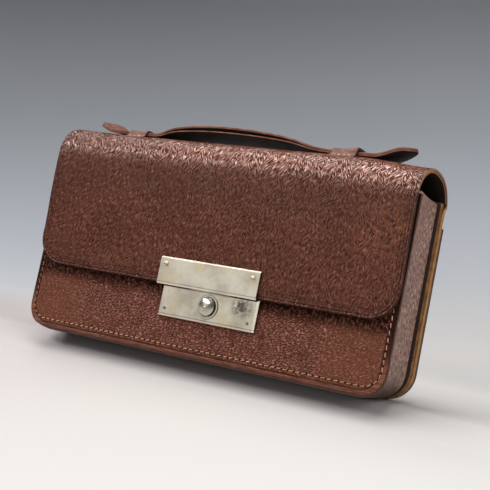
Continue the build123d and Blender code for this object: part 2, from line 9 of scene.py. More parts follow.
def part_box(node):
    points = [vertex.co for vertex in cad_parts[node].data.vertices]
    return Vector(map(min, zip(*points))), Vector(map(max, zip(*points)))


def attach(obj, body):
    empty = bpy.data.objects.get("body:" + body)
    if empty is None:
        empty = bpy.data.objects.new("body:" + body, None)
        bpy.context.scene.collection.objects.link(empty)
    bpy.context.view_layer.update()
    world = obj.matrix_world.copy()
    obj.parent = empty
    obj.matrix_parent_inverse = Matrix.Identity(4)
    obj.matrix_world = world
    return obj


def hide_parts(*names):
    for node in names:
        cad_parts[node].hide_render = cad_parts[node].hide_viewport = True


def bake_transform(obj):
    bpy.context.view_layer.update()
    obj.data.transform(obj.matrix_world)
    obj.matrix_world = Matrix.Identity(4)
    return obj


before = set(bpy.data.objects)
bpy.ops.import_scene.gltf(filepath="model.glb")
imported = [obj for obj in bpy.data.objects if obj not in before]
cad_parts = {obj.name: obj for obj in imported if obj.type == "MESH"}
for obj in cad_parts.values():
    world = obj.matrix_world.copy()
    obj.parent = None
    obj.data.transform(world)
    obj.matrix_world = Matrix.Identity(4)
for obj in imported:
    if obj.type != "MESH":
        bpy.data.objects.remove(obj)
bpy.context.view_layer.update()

# A leather sewing bag on a pale sweep. Patterns are cut flat in millimetres, x across, y up and z out of the
# grain side, then laid over their form, which turns them into metres in the bag's own frame.
MM = 0.001
X, Y = 0, 1  # across and up a flat pattern

# The bag, with the outsides of its front and back where they meet the ground
half_width = 110.0
crown_height = 115.0
front_y, back_y = -18.35, 18.35
front_lean, back_lean = radians(2.8), radians(2.0)
hide_corner, body_corner = 15.5, 14.0
front_height = 99.0

# Leathers and cloth, by thickness
flap_leather, flap_lining_leather, keeper_leather = 1.3, 0.8, 1.0
front_leather, welt_leather, gusset_leather = 1.3, 1.0, 1.2
pocket_leather, cover_leather, back_leather = 2.6, 3.2, 3.2
cover_extra = 1.46  # how much thicker the hide is behind than on the flap, as a share
lining_cloth, partition_board = 0.7, 1.6
front_layers = front_leather + welt_leather
back_layers = pocket_leather + cover_leather + back_leather

# The flap, and the arcs of the crown
flap_proud = 2.6
flap_bottom = 37.0
arch_y = -1.0444
brow_radius, rear_radius = 15.0, 23.37

# Openings for the lock: left, right, low and high
hasp_opening = (-5.0, 19.8, -1, 10)
plate_opening = (-2.6, 17.4, 22, 45.4)
case_opening = (-5.9, 20.7, 18.7, 48.7)

# Strap and keepers, measured in the plane of their seat on the crown
seat_y, seat_z = 0.65, 114.938
seat_tilt = asin(0.072502)
left_shoulder, right_shoulder = -76.0, 78.5
left_length, right_length = 22.5, 20.5
bow_x = -11.0
left_foot, right_foot = -59.2, 53.4
neck_width, end_width = 9.6, 14.4
left_keeper, right_keeper = (-73.0, -61.0), (55.0, 69.0)


def smooth(value, start, end):
    """0 before start, 1 after end and an easy curve between them."""
    share = np.clip((value - start) / (end - start), 0, 1)
    return share * share * (3 - 2 * share)


def eased(values, reach):
    """A row of values with its corners eased over a number of neighbours on each side."""
    padded = np.pad(values, reach, mode="reflect", reflect_type="odd")
    return np.convolve(padded, np.ones(2 * reach + 1) / (2 * reach + 1), mode="valid")


# Camera. The bag in the photograph leans back and this one stands, so the camera looks up at it a little.
camera_place = (0.30721, -0.48238, 0.03564)
camera_turn, camera_rise, camera_roll = radians(31.5), radians(-2.833), radians(10.241)
camera_data = bpy.data.cameras.new("camera")
camera = bpy.data.objects.new("camera", camera_data)
bpy.context.scene.collection.objects.link(camera)
bpy.context.scene.camera = camera
camera_data.sensor_width = 36
camera_data.lens = 79.7
level_share = cos(camera_rise)
lens_back = Vector((sin(camera_turn) * level_share, -cos(camera_turn) * level_share, sin(camera_rise)))
level_right = Vector((cos(camera_turn), sin(camera_turn), 0))
level_up = lens_back.cross(level_right)
lens_right = cos(camera_roll) * level_right + sin(camera_roll) * level_up
lens_up = cos(camera_roll) * level_up - sin(camera_roll) * level_right
facing = Matrix((lens_right, lens_up, lens_back)).transposed().to_4x4()
camera.matrix_world = Matrix.Translation(camera_place) @ facing


# Bench work: cutting, thickness and shaping
def select_only(piece):
    """Makes one piece the only one that tools act on."""
    bpy.ops.object.select_all(action="DESELECT")
    piece.select_set(True)
    bpy.context.view_layer.objects.active = piece


def start_piece(name, primitive, **sizes):
    """Adds a primitive and leaves it open for editing, all of it selected."""
    bpy.ops.object.select_all(action="DESELECT")
    primitive(**sizes)
    piece = bpy.context.object
    piece.name = piece.data.name = name
    bpy.ops.object.mode_set(mode="EDIT")
    bpy.ops.mesh.select_all(action="SELECT")
    return piece


def pick(kind, test):
    """Selects what passes a test, by its middle, in the mesh that is open for editing."""
    mesh = bpy.context.edit_object.data
    bpy.context.tool_settings.mesh_select_mode = [kind == k for k in ("VERT", "EDGE", "FACE")]
    bm = bmesh.from_edit_mesh(mesh)
    for part in [*bm.faces, *bm.edges, *bm.verts]:
        part.select_set(False)
    for part in {"VERT": bm.verts, "EDGE": bm.edges, "FACE": bm.faces}[kind]:
        corners = [part.co] if kind == "VERT" else [v.co for v in part.verts]
        part.select_set(bool(test(sum(corners, Vector()) / len(corners))))
    bm.select_flush_mode()
    bmesh.update_edit_mesh(mesh)


def slice_at(axis, places, **options):
    """Divides the mesh that is open for editing, at each of some places along x or y."""
    for place in places:
        point, facing = Vector(), Vector()
        point[axis], facing[axis] = place, 1
        bpy.ops.mesh.select_all(action="SELECT")
        bpy.ops.mesh.bisect(plane_co=point, plane_no=facing, **options)


def cut_flat(name, half, low, high, bottom=0, top=0):
    """A flat piece, its lower and upper corners rounded, left open for editing."""
    piece = start_piece(name, bpy.ops.mesh.primitive_plane_add, size=1)
    middle = (low + high) / 2
    bpy.ops.transform.resize(value=(2 * half, high - low, 1))
    bpy.ops.transform.translate(value=(0, middle, 0))
    if bottom:
        pick("VERT", lambda at: at.y < middle)
        bpy.ops.mesh.bevel(offset=bottom, segments=12, affect="VERTICES")
    if top:
        pick("VERT", lambda at: at.y > high - 0.001)
        bpy.ops.mesh.bevel(offset=top, segments=12, affect="VERTICES")
    bpy.ops.mesh.select_all(action="SELECT")
    return piece


def crease(inset, wide, deep):
    """A line pressed with a hot tool, inside the outline of what is selected."""
    bpy.ops.mesh.inset(thickness=inset - wide, depth=0)
    bpy.ops.mesh.inset(thickness=wide, depth=-deep)
    bpy.ops.mesh.inset(thickness=wide, depth=deep)


def punch(left, right, low, high):
    """Cuts a straight-sided opening out of the flat piece."""
    slice_at(X, (left, right))
    slice_at(Y, (low, high))
    pick("FACE", lambda at: left < at.x < right and low < at.y < high)
    bpy.ops.mesh.delete(type="FACE")


def thicken(piece, thickness, edge):
    """Gives the flat piece its thickness below the grain side, and rounds its cut edges over."""
    bpy.ops.object.mode_set(mode="OBJECT")
    body = piece.modifiers.new("body", "SOLIDIFY")
    body.thickness = thickness
    body.offset = -1
    round_over = piece.modifiers.new("edge", "BEVEL")
    round_over.width = edge
    round_over.segments = 3
    round_over.limit_method = "ANGLE"
    round_over.angle_limit = radians(60)
    select_only(piece)
    for name in ("body", "edge"):
        bpy.ops.object.modifier_apply(modifier=name)


def score(piece, across, along):
    """Divides the piece along lines, so that it can be shaped."""
    select_only(piece)
    bpy.ops.object.mode_set(mode="EDIT")
    slice_at(X, across)
    slice_at(Y, along)
    bpy.ops.object.mode_set(mode="OBJECT")


def finish_sides(piece, grain, edge, flesh):
    """Grain on the outside, the cut edge round the rim and the flesh side behind."""
    mesh = piece.data
    for finish in (grain, edge, flesh):
        mesh.materials.append(finish.material)
    facing = np.empty(3 * len(mesh.polygons), np.float32)
    mesh.polygons.foreach_get("normal", facing)
    outward = facing[2::3]
    slots = np.where(outward > 0.8, 0, np.where(outward < -0.8, 2, 1))
    mesh.polygons.foreach_set("material_index", slots.astype(np.int32))


def place_points(mesh, points):
    """Puts the points of a mesh at places given in millimetres."""
    mesh.vertices.foreach_set("co", (points * MM).astype(np.float32).ravel())


def lay(piece, form):
    """Lays the flat piece over its form. Its UV map keeps the flat pattern, 100 mm to a unit."""
    mesh = piece.data
    flat = np.empty(3 * len(mesh.vertices), np.float32)
    mesh.vertices.foreach_get("co", flat)
    flat = flat.reshape(-1, 3).astype(float)
    corner = np.empty(len(mesh.loops), np.int32)
    mesh.loops.foreach_get("vertex_index", corner)
    while mesh.uv_layers:
        mesh.uv_layers.remove(mesh.uv_layers[0])
    pattern = (flat[corner, :2] / 100).astype(np.float32)
    mesh.uv_layers.new(name="cut").data.foreach_set("uv", pattern.ravel())
    place_points(mesh, form(*flat.T))
    mesh.update()
    select_only(piece)
    bpy.ops.object.shade_smooth_by_angle(angle=radians(50))


def build_up(piece, form, finishes, thickness, edge, across, along):
    """Takes a flat piece through the rest of its making: thickness, score lines, finishes and form."""
    thicken(piece, thickness, edge)
    score(piece, across, along)
    finish_sides(piece, *finishes)
    lay(piece, form)


def divide(piece, name, axis, place):
    """Divides a laid piece at a line of its pattern, keeps the shading as it was and closes both ends."""
    mesh = piece.data
    shade = np.empty(3 * len(mesh.loops), np.float32)
    mesh.corner_normals.foreach_get("vector", shade)
    mesh.attributes.new("shade", "FLOAT_VECTOR", "CORNER").data.foreach_set("vector", shade)
    cut = mesh.uv_layers["cut"].data
    beyond = []
    for face in mesh.polygons:
        middle = sum(cut[i].uv[axis] for i in face.loop_indices) / face.loop_total
        beyond.append(middle > place / 100)
    select_only(piece)
    bpy.ops.object.mode_set(mode="EDIT")
    bpy.context.tool_settings.mesh_select_mode = (False, False, True)
    bm = bmesh.from_edit_mesh(mesh)
    for face, chosen in zip(bm.faces, beyond):
        face.select_set(chosen)
    bmesh.update_edit_mesh(mesh)
    bpy.ops.mesh.separate(type="SELECTED")
    bpy.ops.object.mode_set(mode="OBJECT")
    other = next(o for o in bpy.context.selected_objects if o != piece)
    other.name = other.data.name = name
    for half in (piece, other):
        select_only(half)
        bpy.ops.object.mode_set(mode="EDIT")
        bpy.context.tool_settings.mesh_select_mode = (False, True, False)
        bpy.ops.mesh.select_all(action="DESELECT")
        bpy.ops.mesh.select_non_manifold()
        bpy.ops.mesh.edge_face_add()
        bpy.ops.object.mode_set(mode="OBJECT")
        mesh = half.data
        kept = np.empty(3 * len(mesh.loops), np.float32)
        mesh.attributes["shade"].data.foreach_get("vector", kept)
        kept = kept.reshape(-1, 3)
        for face in mesh.polygons:
            for i in face.loop_indices:
                if not kept[i].any():
                    kept[i] = face.normal
        mesh.attributes.remove(mesh.attributes["shade"])
        mesh.normals_split_custom_set(kept.tolist())
    return other


class Line:
    """A line through points, read by the distance along it: where it is, and which side is out."""

    def __init__(self, points, step=0.25, ease=0):
        points = np.array(points, float)
        along = np.concatenate(([0], np.cumsum(np.hypot(*np.diff(points, axis=0).T))))
        self.along = np.linspace(0, along[-1], round(along[-1] / step) + 1)
        self.length = along[-1]
        self.points = np.column_stack([np.interp(self.along, along, points[:, k]) for k in (0, 1)])
        if ease:
            reach = round(ease / step)
            self.points = np.column_stack([eased(self.points[:, k], reach) for k in (0, 1)])
        run = np.gradient(self.points, axis=0)
        run /= np.hypot(*run.T)[:, None]
        self.out = np.column_stack((-run[:, 1], run[:, 0]))

    def __call__(self, along, proud=0):
        where = [np.interp(along, self.along, self.points[:, k]) for k in (0, 1)]
        facing = [np.interp(along, self.along, self.out[:, k]) for k in (0, 1)]
        return where[0] + proud * facing[0], where[1] + proud * facing[1]


def arc(across, up, radius, start, end, count=48):
    """Points on an arc, from one angle to another."""
    angles = np.radians(np.linspace(start, end, count))
    return [(across + radius * cos(a), up + radius * sin(a)) for a in angles]


def on_front(proud):
    """The front wall's slope, for a sheet whose outside is this proud of the front face."""
    def form(x, up, out):
        out = out + proud
        y = front_y + up * sin(front_lean) - out * cos(front_lean)
        return np.column_stack((x, y, up * cos(front_lean) + out * sin(front_lean)))
    return form


def on_back(proud):
    """The back wall's slope, seen from behind."""
    def form(x, up, out):
        out = out + proud
        y = back_y + up * sin(back_lean) + out * cos(back_lean)
        return np.column_stack((-x, y, up * cos(back_lean) - out * sin(back_lean)))
    return form


# The line that the hide follows, in y and z: its outside from the flap's bottom edge up, over the crown and
# down the back. Places along it are where the crown begins, its top, the crease behind it and the join.
brow_z, rear_z = crown_height - brow_radius, crown_height - rear_radius
fall = [(front_y - flap_proud / cos(front_lean) + z * tan(front_lean), z) for z in (flap_bottom, brow_z)]
rear = [(back_y - pocket_leather / cos(back_lean) + z * tan(back_lean), z) for z in (93.6, 0)]
crown_arcs = [*arc(arch_y, brow_z, brow_radius, 176.5, 90), *arc(arch_y, rear_z, rear_radius, 89, 17.87)]
over = Line([*fall, *crown_arcs, *rear], ease=1.5)
brow_s = 63.1
apex_s = brow_s + brow_radius * radians(87.2)
crease_s = apex_s + rear_radius * radians(72.1)
join_s = 90.0


# Finishes
# What these nodes are set to, unless a call says otherwise
USUAL = {"MapRange": {"interpolation_type": "SMOOTHSTEP"}, "Mix": {"data_type": "RGBA"}}


def linear(code):
    """The light that a hex colour stands for."""
    parts = [int(code[i:i + 2], 16) / 255 for i in (1, 3, 5)]
    return (*[p / 12.92 if p <= 0.04045 else ((p + 0.055) / 1.055) ** 2.4 for p in parts], 1)


def plug(socket, value):
    """Gives a socket a value, a hex colour or another node's output."""
    if isinstance(value, bpy.types.NodeSocket):
        socket.id_data.links.new(value, socket)
    else:
        socket.default_value = linear(value) if isinstance(value, str) else value


class Finish:
    """A material under way, its patterns drawn in millimetres.

    The values of a noise are its place, 1 over the size of its blotches, its detail and its roughness. Those
    of a map are what it reads, the limits that this passes between and the limits that it gives back, 0 and 1
    unless named. Those of a mix are its share and two colours.
    """

    def __init__(self, name, **sockets):
        self.material = bpy.data.materials.new(name)
        self.material.use_nodes = True
        self.shader = self.material.node_tree.nodes["Principled BSDF"]
        self.set(**sockets)

    def set(self, **sockets):
        """Sets or links the shader's own sockets."""
        for name, value in sockets.items():
            plug(self.shader.inputs[name.replace("_", " ")], value)

    def painted(self):
        """The colour so far, for more to be laid over it."""
        return self.shader.inputs["Base Color"].links[0].from_socket

    def add(self, kind, *values, stops=(), out=None, **named):
        """Adds a node with its settings and links, and gives back its first output or the one named.

        Values fill the inputs in their order. A capitalised name is one input, and any other is a setting.
        A kind all in capitals is the operation of a Math node.
        """
        if kind.isupper():
            kind, named["operation"] = "Math", kind
        made = self.material.node_tree.nodes.new("ShaderNode" + kind)
        for name, value in {**USUAL.get(kind, {}), **named}.items():
            if name.islower():
                setattr(made, name, value)
        if stops:
            ramp = made.color_ramp.elements
            while len(ramp) < len(stops):
                ramp.new(0.5)
            for mark, (at, shade) in zip(ramp, stops):
                mark.position = at
                mark.color = linear(shade)
        for socket, value in zip([s for s in made.inputs if s.enabled], values):
            plug(socket, value)
        for name, value in named.items():
            if name.istitle():
                plug(made.inputs[name], value)
        return made.outputs[out] if out else next(s for s in made.outputs if s.enabled)

    def cut(self):
        """Millimetres on the flat pattern."""
        return self.add("VectorMath", self.add("UVMap", uv_map="cut"), (100, 100, 100), operation="MULTIPLY")

    def place(self):
        """Millimetres on the object."""
        at = self.add("TexCoord", out="Object")
        return self.add("VectorMath", at, (1000, 1000, 1000), operation="MULTIPLY")

    def inside(self, x, y, half, corner):
        """How far in from the outline, up to the corner's radius, on a piece with round bottom corners."""
        add = self.add
        across = add("MAXIMUM", add("SUBTRACT", add("ABSOLUTE", x), half - corner), 0)
        down = add("MAXIMUM", add("SUBTRACT", corner, y), 0)
        squares = add("ADD", add("POWER", across, 2), add("POWER", down, 2))
        return add("SUBTRACT", corner, add("SQRT", squares))

    def stripe(self, value, middle, half):
        """1 on a line where the value is its middle, fading to 0 on both sides."""
        off = self.add("ABSOLUTE", self.add("SUBTRACT", value, middle))
        return self.add("MapRange", off, half, 0)


def make_hatched():
    """Goatskin boarded and plated with a hatch of short strokes, dyed and polished brown. The strokes give it
    its dry sparkle, their ridges rubbed redder and lighter by the hand, with a painted highlight on the
    ridges of the brow, and its edges are burnished dark."""
    skin = Finish("hatched goatskin", Specular_Tint="#ffd6c6", Specular_IOR_Level=0.3)
    add, stripe = skin.add, skin.stripe
    at = skin.cut()
    x, s = add("SeparateXYZ", at, out="X"), add("SeparateXYZ", at, out="Y")
    brow_back = add("MapRange", s, crease_s, crease_s - 12)
    brow = add("MULTIPLY", add("MapRange", s, 57.5, 68), brow_back)

    # Strokes 0.4 mm wide and about 3 mm long, a little wider up on the brow. They lean one way or the other
    # in patches of 3.6 mm: all one way at the left end, and about by halves at the right end and on the brow.
    drift = add("VectorMath", add("TexNoise", at, 1 / 6, out="Color"), (0.9, 0.9, 0), operation="MULTIPLY")
    moved = add("VectorMath", at, drift, operation="ADD")
    patch = add("TexVoronoi", add("Mapping", moved, Scale=(1, 0.7, 1)), 1 / 3.6, out="Color")
    even = add("MAXIMUM", add("MapRange", x, -110, 90, 0, 0.45), add("MULTIPLY", brow, 0.5))
    side = add("LESS_THAN", add("SeparateColor", patch, out="Red"), even)
    strokes = []
    for width in (0.37, 0.45):
        for lean in (36, -30):
            turned = add("Mapping", moved, Rotation=(0, 0, radians(lean)))
            stroke = add("TexNoise", add("Mapping", turned, Scale=(1, 0.14, 1)), 1 / width, 1)
            strokes.append(add("MapRange", stroke, 0.42, 0.62))
    upper = add("MULTIPLY", add("MapRange", s, 40, 66), brow_back)
    hatch = add("Mix", upper, add("Mix", side, *strokes[:2]), add("Mix", side, *strokes[2:]))
    turned = add("Mapping", moved, Rotation=(0, 0, radians(14)))
    folds = add("TexNoise", add("Mapping", turned, Scale=(1, 0.2, 1)), 1 / 0.6, 3, 0.6)
    folds = add("MapRange", folds, 0.32, 0.58)

    # The ridges are rubbed here and there, and lightened most on the polished brow, to the right: partly wear
    # and partly a painted highlight
    worn = add("MapRange", add("TexNoise", at, 1 / 26, 4), 0.35, 0.68)
    tone = add("MULTIPLY_ADD", folds, 0.3, add("MULTIPLY", hatch, 0.36))
    tone = add("MULTIPLY_ADD", worn, 0.08, tone)
    rubbed = add("MapRange", add("TexNoise", at, 1 / 1.6, 3), 0.45, 0.62)
    rubbed = add("MULTIPLY", rubbed, add("MapRange", s, 10, 60, 0.05, 0.2))
    # Painted highlight on the brow's ridges, strongest to the right
    polished = add("MULTIPLY", add("MapRange", s, 60, 69), add("MapRange", x, -105, 30, 0.03, 0.34))
    rubbed = add("MULTIPLY_ADD", brow, polished, rubbed)
    tone = add("MULTIPLY_ADD", hatch, rubbed, tone)
    browns = ((0, "#2f160d"), (0.3, "#432319"), (0.5, "#512d21"), (0.75, "#6e4335"), (1, "#9e735f"))
    colour = add("ValToRGB", tone, stops=browns)

    # A golden tinge at the right end, and a darker band just under the brow
    golden = add("MapRange", add("TexNoise", at, 1 / 4, 4), 0.42, 0.66)
    golden = add("MULTIPLY", golden, add("MapRange", x, 68, 100))
    golden = add("MULTIPLY", golden, add("MapRange", s, 62, 50, 0.1, 0.4))
    golden = add("MULTIPLY", golden, add("MapRange", s, 18, 42))
    colour = add("Mix", golden, colour, "#7d4a2a")
    colour = add("Mix", add("MULTIPLY", stripe(s, 53, 15), 0.3), colour, "#2a130c")

    # Dark lines follow the outline, in the creases and along the very edge
    rim = skin.inside(x, s, half_width, hide_corner)
    lines = stripe(rim, 1.4, 0.55)
    for other, share in ((stripe(rim, 2.9, 0.5), 0.8), (stripe(rim, 4.3, 0.5), 0.6)):
        lines = add("MAXIMUM", lines, add("MULTIPLY", other, share))
    lines = add("MAXIMUM", lines, add("MULTIPLY", add("MapRange", rim, 1, 0.2), 0.6))
    skin.set(Base_Color=add("Mix", add("MULTIPLY", lines, 0.8), colour, "#170904"))

    height = add("MULTIPLY_ADD", hatch, 0.75, add("MULTIPLY", folds, 0.25))
    height = add("MULTIPLY_ADD", add("TexNoise", at, 1 / 0.35, 2), 0.15, height)
    rough = add("MapRange", hatch, 0.1, 0.9, 0.42, 0.26)
    skin.set(Roughness=add("MULTIPLY_ADD", brow, -0.1, rough))
    shine = add("MapRange", height, 0.25, 0.8, 0.05, 1)
    shine = add("MULTIPLY", shine, add("MapRange", brow, 0, 1, 0.4, 0.9))
    relief = add("MULTIPLY", height, add("MapRange", brow, 0, 1, 0.75, 1))
    skin.set(Specular_IOR_Level=shine, Normal=add("Bump", Distance=0.5 * MM, Height=relief))

    # A wax polish rubbed on and caught on the ridges of the brow
    waxed = add("MULTIPLY", brow, add("MapRange", height, 0.36, 0.66))
    skin.set(Coat_Weight=waxed, Coat_IOR=1.6, Coat_Roughness=0.28, Coat_Tint="#ffe2d4")
    skin.set(Coat_Normal=add("Bump", Distance=0.24 * MM, Height=height))
    return skin


def make_pebbled():
    """The same skin low on the front, under the flap's edge: pebbled, glossier in the middle from handling,
    and rubbed smooth and redder towards both ends."""
    skin = Finish("pebbled goatskin", Specular_Tint="#ffd6c6")
    add, stripe = skin.add, skin.stripe
    at = skin.cut()
    x, up = add("SeparateXYZ", at, out="X"), add("SeparateXYZ", at, out="Y")

    # Pebbles of 1.4 mm with grit of 0.6 mm, drawn out aslant
    drift = add("VectorMath", add("TexNoise", at, 1 / 5, out="Color"), (1.5, 1.5, 0), operation="MULTIPLY")
    moved = add("VectorMath", at, drift, operation="ADD")
    turned = add("Mapping", moved, Rotation=(0, 0, radians(-24)))
    grit = add("TexNoise", add("Mapping", turned, Scale=(0.45, 1, 1)), 1 / 0.62, 3, 0.6)
    grit = add("MapRange", grit, 0.36, 0.66)
    cells = add("TexVoronoi", add("Mapping", turned, Scale=(0.6, 1, 1)), 1 / 1.4, feature="DISTANCE_TO_EDGE")
    pebbles = add("MULTIPLY", add("MapRange", cells, 0, 0.3), 0.3)
    pebbles = add("MULTIPLY_ADD", grit, 0.7, pebbles)
    ends = add("MULTIPLY_ADD", add("TexNoise", at, 1 / 12, 2), 18, add("ABSOLUTE", x))
    ends = add("MapRange", ends, 72, 96)
    tone = add("MULTIPLY_ADD", add("TexNoise", at, 1 / 9, 4), 0.35, add("MULTIPLY", pebbles, 0.6))
    browns = ((0.15, "#321a12"), (0.4, "#512d22"), (0.6, "#6e4337"), (0.85, "#99685b"))
    colour = add("ValToRGB", tone, stops=browns)
    colour = add("Mix", add("MULTIPLY", ends, 0.55), colour, "#573324")

    # A streaked strip along the outline, dark at its sides outside the crease
    rim = skin.inside(x, up, half_width, body_corner)
    streak = add("TexNoise", add("Mapping", at, Scale=(0.12, 1, 1)), 1, 3, 0.6)
    streak = add("ValToRGB", streak, stops=((0.35, "#4b2a1e"), (0.6, "#74493a")))
    colour = add("Mix", add("MapRange", rim, 4.6, 3.8), colour, streak)
    outer = add("MULTIPLY", add("MapRange", rim, 3.8, 3), add("MapRange", up, 12, 24))
    colour = add("Mix", outer, colour, "#2e1710")

    # A dark, pitted band below the flap's edge, partly worn leather and partly painted shadow from the flap,
    # and darker lines along the crease 3.5 mm in and at the outline
    pits = add("TexNoise", add("Mapping", at, Scale=(1, 0.7, 1)), 1 / 1.5, 3, 0.6)
    pits = add("MapRange", pits, 0.6, 0.45)
    band = add("MULTIPLY", add("MapRange", up, 27.5, 34.5), add("MULTIPLY_ADD", pits, 0.7, 0.3))
    band = add("MULTIPLY", band, add("MapRange", up, 46, 38, 0.12, 1))
    low = add("MULTIPLY", add("MapRange", rim, 0.9, 0.2), 0.7)
    low = add("MAXIMUM", stripe(rim, 3.5, 0.7), low)
    shade = add("MAXIMUM", band, add("MULTIPLY", low, 0.75))
    skin.set(Base_Color=add("Mix", shade, colour, "#1a0c08"))

    skin.set(Roughness=add("MapRange", add("TexNoise", at, 1 / 6, 3), 0.3, 0.7, 0.3, 0.46))
    shine = add("SUBTRACT", add("MapRange", pebbles, 0.4, 0.95, 0.04, 0.55), shade)
    skin.set(Specular_IOR_Level=add("MAXIMUM", shine, 0.03))
    height = add("MULTIPLY", pebbles, add("MULTIPLY_ADD", ends, -0.8, 1))
    height = add("MULTIPLY", height, add("MapRange", rim, 3.4, 4.6))
    height = add("MULTIPLY_ADD", add("TexNoise", at, 1 / 0.4, 2), 0.15, height)
    height = add("MULTIPLY_ADD", stripe(rim, 3.5, 0.9), -1.2, height)
    crumple = add("TexNoise", add("Mapping", at, Scale=(1, 1.6, 1)), 1 / 3, 3, 0.6)
    crumple = add("MULTIPLY", crumple, add("MapRange", up, 26, 34))
    height = add("MULTIPLY_ADD", crumple, 2.4, height)
    skin.set(Normal=add("Bump", Distance=0.32 * MM, Height=height))
    return skin


def make_calf():
    """Thin calf turned over the gusset's edges, dyed a muted mauve brown, rubbed pale in streaks where the
    bag folds, and darker towards the ground."""
    skin = Finish("mauve calf", Specular_IOR_Level=0.45)
    add = skin.add
    at = skin.cut()
    streaks = add("TexNoise", add("Mapping", at, Scale=(1, 0.3, 1)), 1 / 0.75, 3, 0.6)
    streaks = add("MapRange", streaks, 0.34, 0.66)
    clouds = add("TexNoise", at, 1 / 16, 3)
    tone = add("MULTIPLY_ADD", streaks, 0.5, add("MULTIPLY", clouds, 0.5))
    colour = add("ValToRGB", tone, stops=((0.22, "#573a31"), (0.5, "#836255"), (0.75, "#b29184")))
    low = add("MapRange", add("SeparateXYZ", skin.place(), out="Z"), 13, 3.5, 0, 0.9)
    skin.set(Base_Color=add("Mix", low, colour, "#3b1e15"))
    skin.set(Roughness=add("MapRange", clouds, 0.3, 0.7, 0.45, 0.6))
    fine = add("MULTIPLY_ADD", add("TexNoise", at, 1 / 0.5, 3), 0.3, streaks)
    skin.set(Normal=add("Bump", Distance=0.34 * MM, Height=fine))
    return skin


def make_edge(name, *stops, roughness=0.82):
    """A cut edge of vegetable tanned leather: pale packed fibre, its skins darker where they were stained."""
    raw = Finish(name, Roughness=roughness, Specular_IOR_Level=0.25)
    add = raw.add
    at = raw.place()
    fibre = add("TexNoise", add("Mapping", at, Scale=(0.35, 1.2, 1.2)), 1 / 0.45, 4, 0.7)
    tone = add("MULTIPLY_ADD", add("TexNoise", at, 1 / 5, 3), 0.5, add("MULTIPLY", fibre, 0.5))
    raw.set(Base_Color=add("ValToRGB", tone, stops=stops))
    raw.set(Normal=add("Bump", Distance=0.12 * MM, Height=fibre))
    return raw


def make_cut_edge():
    """Raw edges of the hide, golden on the arch, browner behind and burnished nearly black down the flap."""
    raw = make_edge("raw edge", (0.32, "#6b4725"), (0.5, "#936839"), (0.68, "#b38752"))
    add = raw.add
    s = add("SeparateXYZ", raw.cut(), out="Y")
    behind = add("MapRange", s, apex_s - 4, apex_s + 6)
    behind = add("MULTIPLY", behind, add("MapRange", s, crease_s + 3, crease_s - 2))
    colour = add("Mix", add("MULTIPLY", behind, 0.8), raw.painted(), "#7a5646")
    burnt = add("MapRange", s, 70, 60)
    raw.set(Base_Color=add("Mix", burnt, colour, "#2c1b16"))
    return raw


def make_flesh():
    """The nap of the flesh side, near black where it was never handled."""
    side = Finish("flesh side", Roughness=0.9, Specular_IOR_Level=0.2)
    nap = side.add("TexNoise", side.place(), 1 / 0.8, 4, 0.7)
    side.set(Base_Color=side.add("ValToRGB", nap, stops=((0.3, "#1b1310"), (0.7, "#3a2b24"))))
    side.set(Normal=side.add("Bump", Distance=0.15 * MM, Height=nap))
    return side


def make_skiver():
    """Skiver, a split skin dyed black brown, smooth with a faint sheen."""
    skin = Finish("skiver", Specular_IOR_Level=0.28)
    add = skin.add
    at = skin.place()
    tone = add("TexNoise", at, 1 / 6, 4)
    skin.set(Base_Color=add("ValToRGB", tone, stops=((0.3, "#0f0a08"), (0.7, "#1d1410"))))
    skin.set(Roughness=add("MapRange", add("TexNoise", at, 1 / 9, 2), 0.3, 0.7, 0.54, 0.62))
    skin.set(Normal=add("Bump", Distance=0.08 * MM, Height=add("TexNoise", at, 1 / 0.9, 3)))
    return skin


def make_twill():
    """Brown cotton twill: diagonal ribs, drawn at 1 mm where the real ones are about 0.5 mm."""
    cloth = Finish("twill", Roughness=0.88, Specular_IOR_Level=0.2, Sheen_Weight=0.25)
    add = cloth.add
    at = cloth.cut()
    slanted = add("Mapping", at, Rotation=(0, 0, radians(52)))
    rib = add("TexWave", slanted, 0.314, 0.4, out="Fac")
    tone = add("MULTIPLY_ADD", add("TexNoise", at, 1 / 5, 4), 0.5, add("MULTIPLY", rib, 0.5))
    cloth.set(Base_Color=add("ValToRGB", tone, stops=((0.2, "#2b211b"), (0.8, "#584639"))))
    cloth.set(Normal=add("Bump", Distance=0.15 * MM, Height=rib))
    return cloth


def make_strap_top():
    """The strap's upper ply: smooth brown calf, polished by the hand along its middle."""
    skin = Finish("polished calf", Specular_IOR_Level=0.22)
    add = skin.add
    at = skin.cut()
    streaks = add("TexNoise", add("Mapping", at, Scale=(0.35, 1, 1)), 1 / 2.2, 4, 0.6)
    tone = add("MULTIPLY_ADD", add("TexNoise", at, 1 / 9, 3), 0.5, add("MULTIPLY", streaks, 0.5))
    browns = ((0.3, "#341b11"), (0.5, "#553023"), (0.7, "#7b4d3c"))
    skin.set(Base_Color=add("ValToRGB", tone, stops=browns))
    skin.set(Roughness=add("MapRange", add("TexNoise", at, 1 / 5, 3), 0.3, 0.7, 0.45, 0.62))
    skin.set(Normal=add("Bump", Distance=0.3 * MM, Height=add("TexNoise", at, 1 / 1.1, 4, 0.6)))
    return skin


def make_thread():
    """Waxed linen thread, cream gone tan in use and darker at the left end."""
    linen = Finish("waxed thread", Roughness=0.6, Specular_IOR_Level=0.4)
    add = linen.add
    at = linen.place()
    creams = ((0.3, "#6b4a33"), (0.55, "#9c714f"), (0.8, "#c79d76"))
    clean = add("ValToRGB", add("TexNoise", at, 1 / 1.3, 3), stops=creams)
    left_end_darker = add("MapRange", add("SeparateXYZ", at, out="X"), -98, -106)
    linen.set(Base_Color=add("Mix", add("MULTIPLY", left_end_darker, 0.7), clean, "#5a3828"))
    linen.set(Normal=add("Bump", Distance=0.06 * MM, Height=add("TexNoise", at, 1 / 0.3, 2)))
    return linen


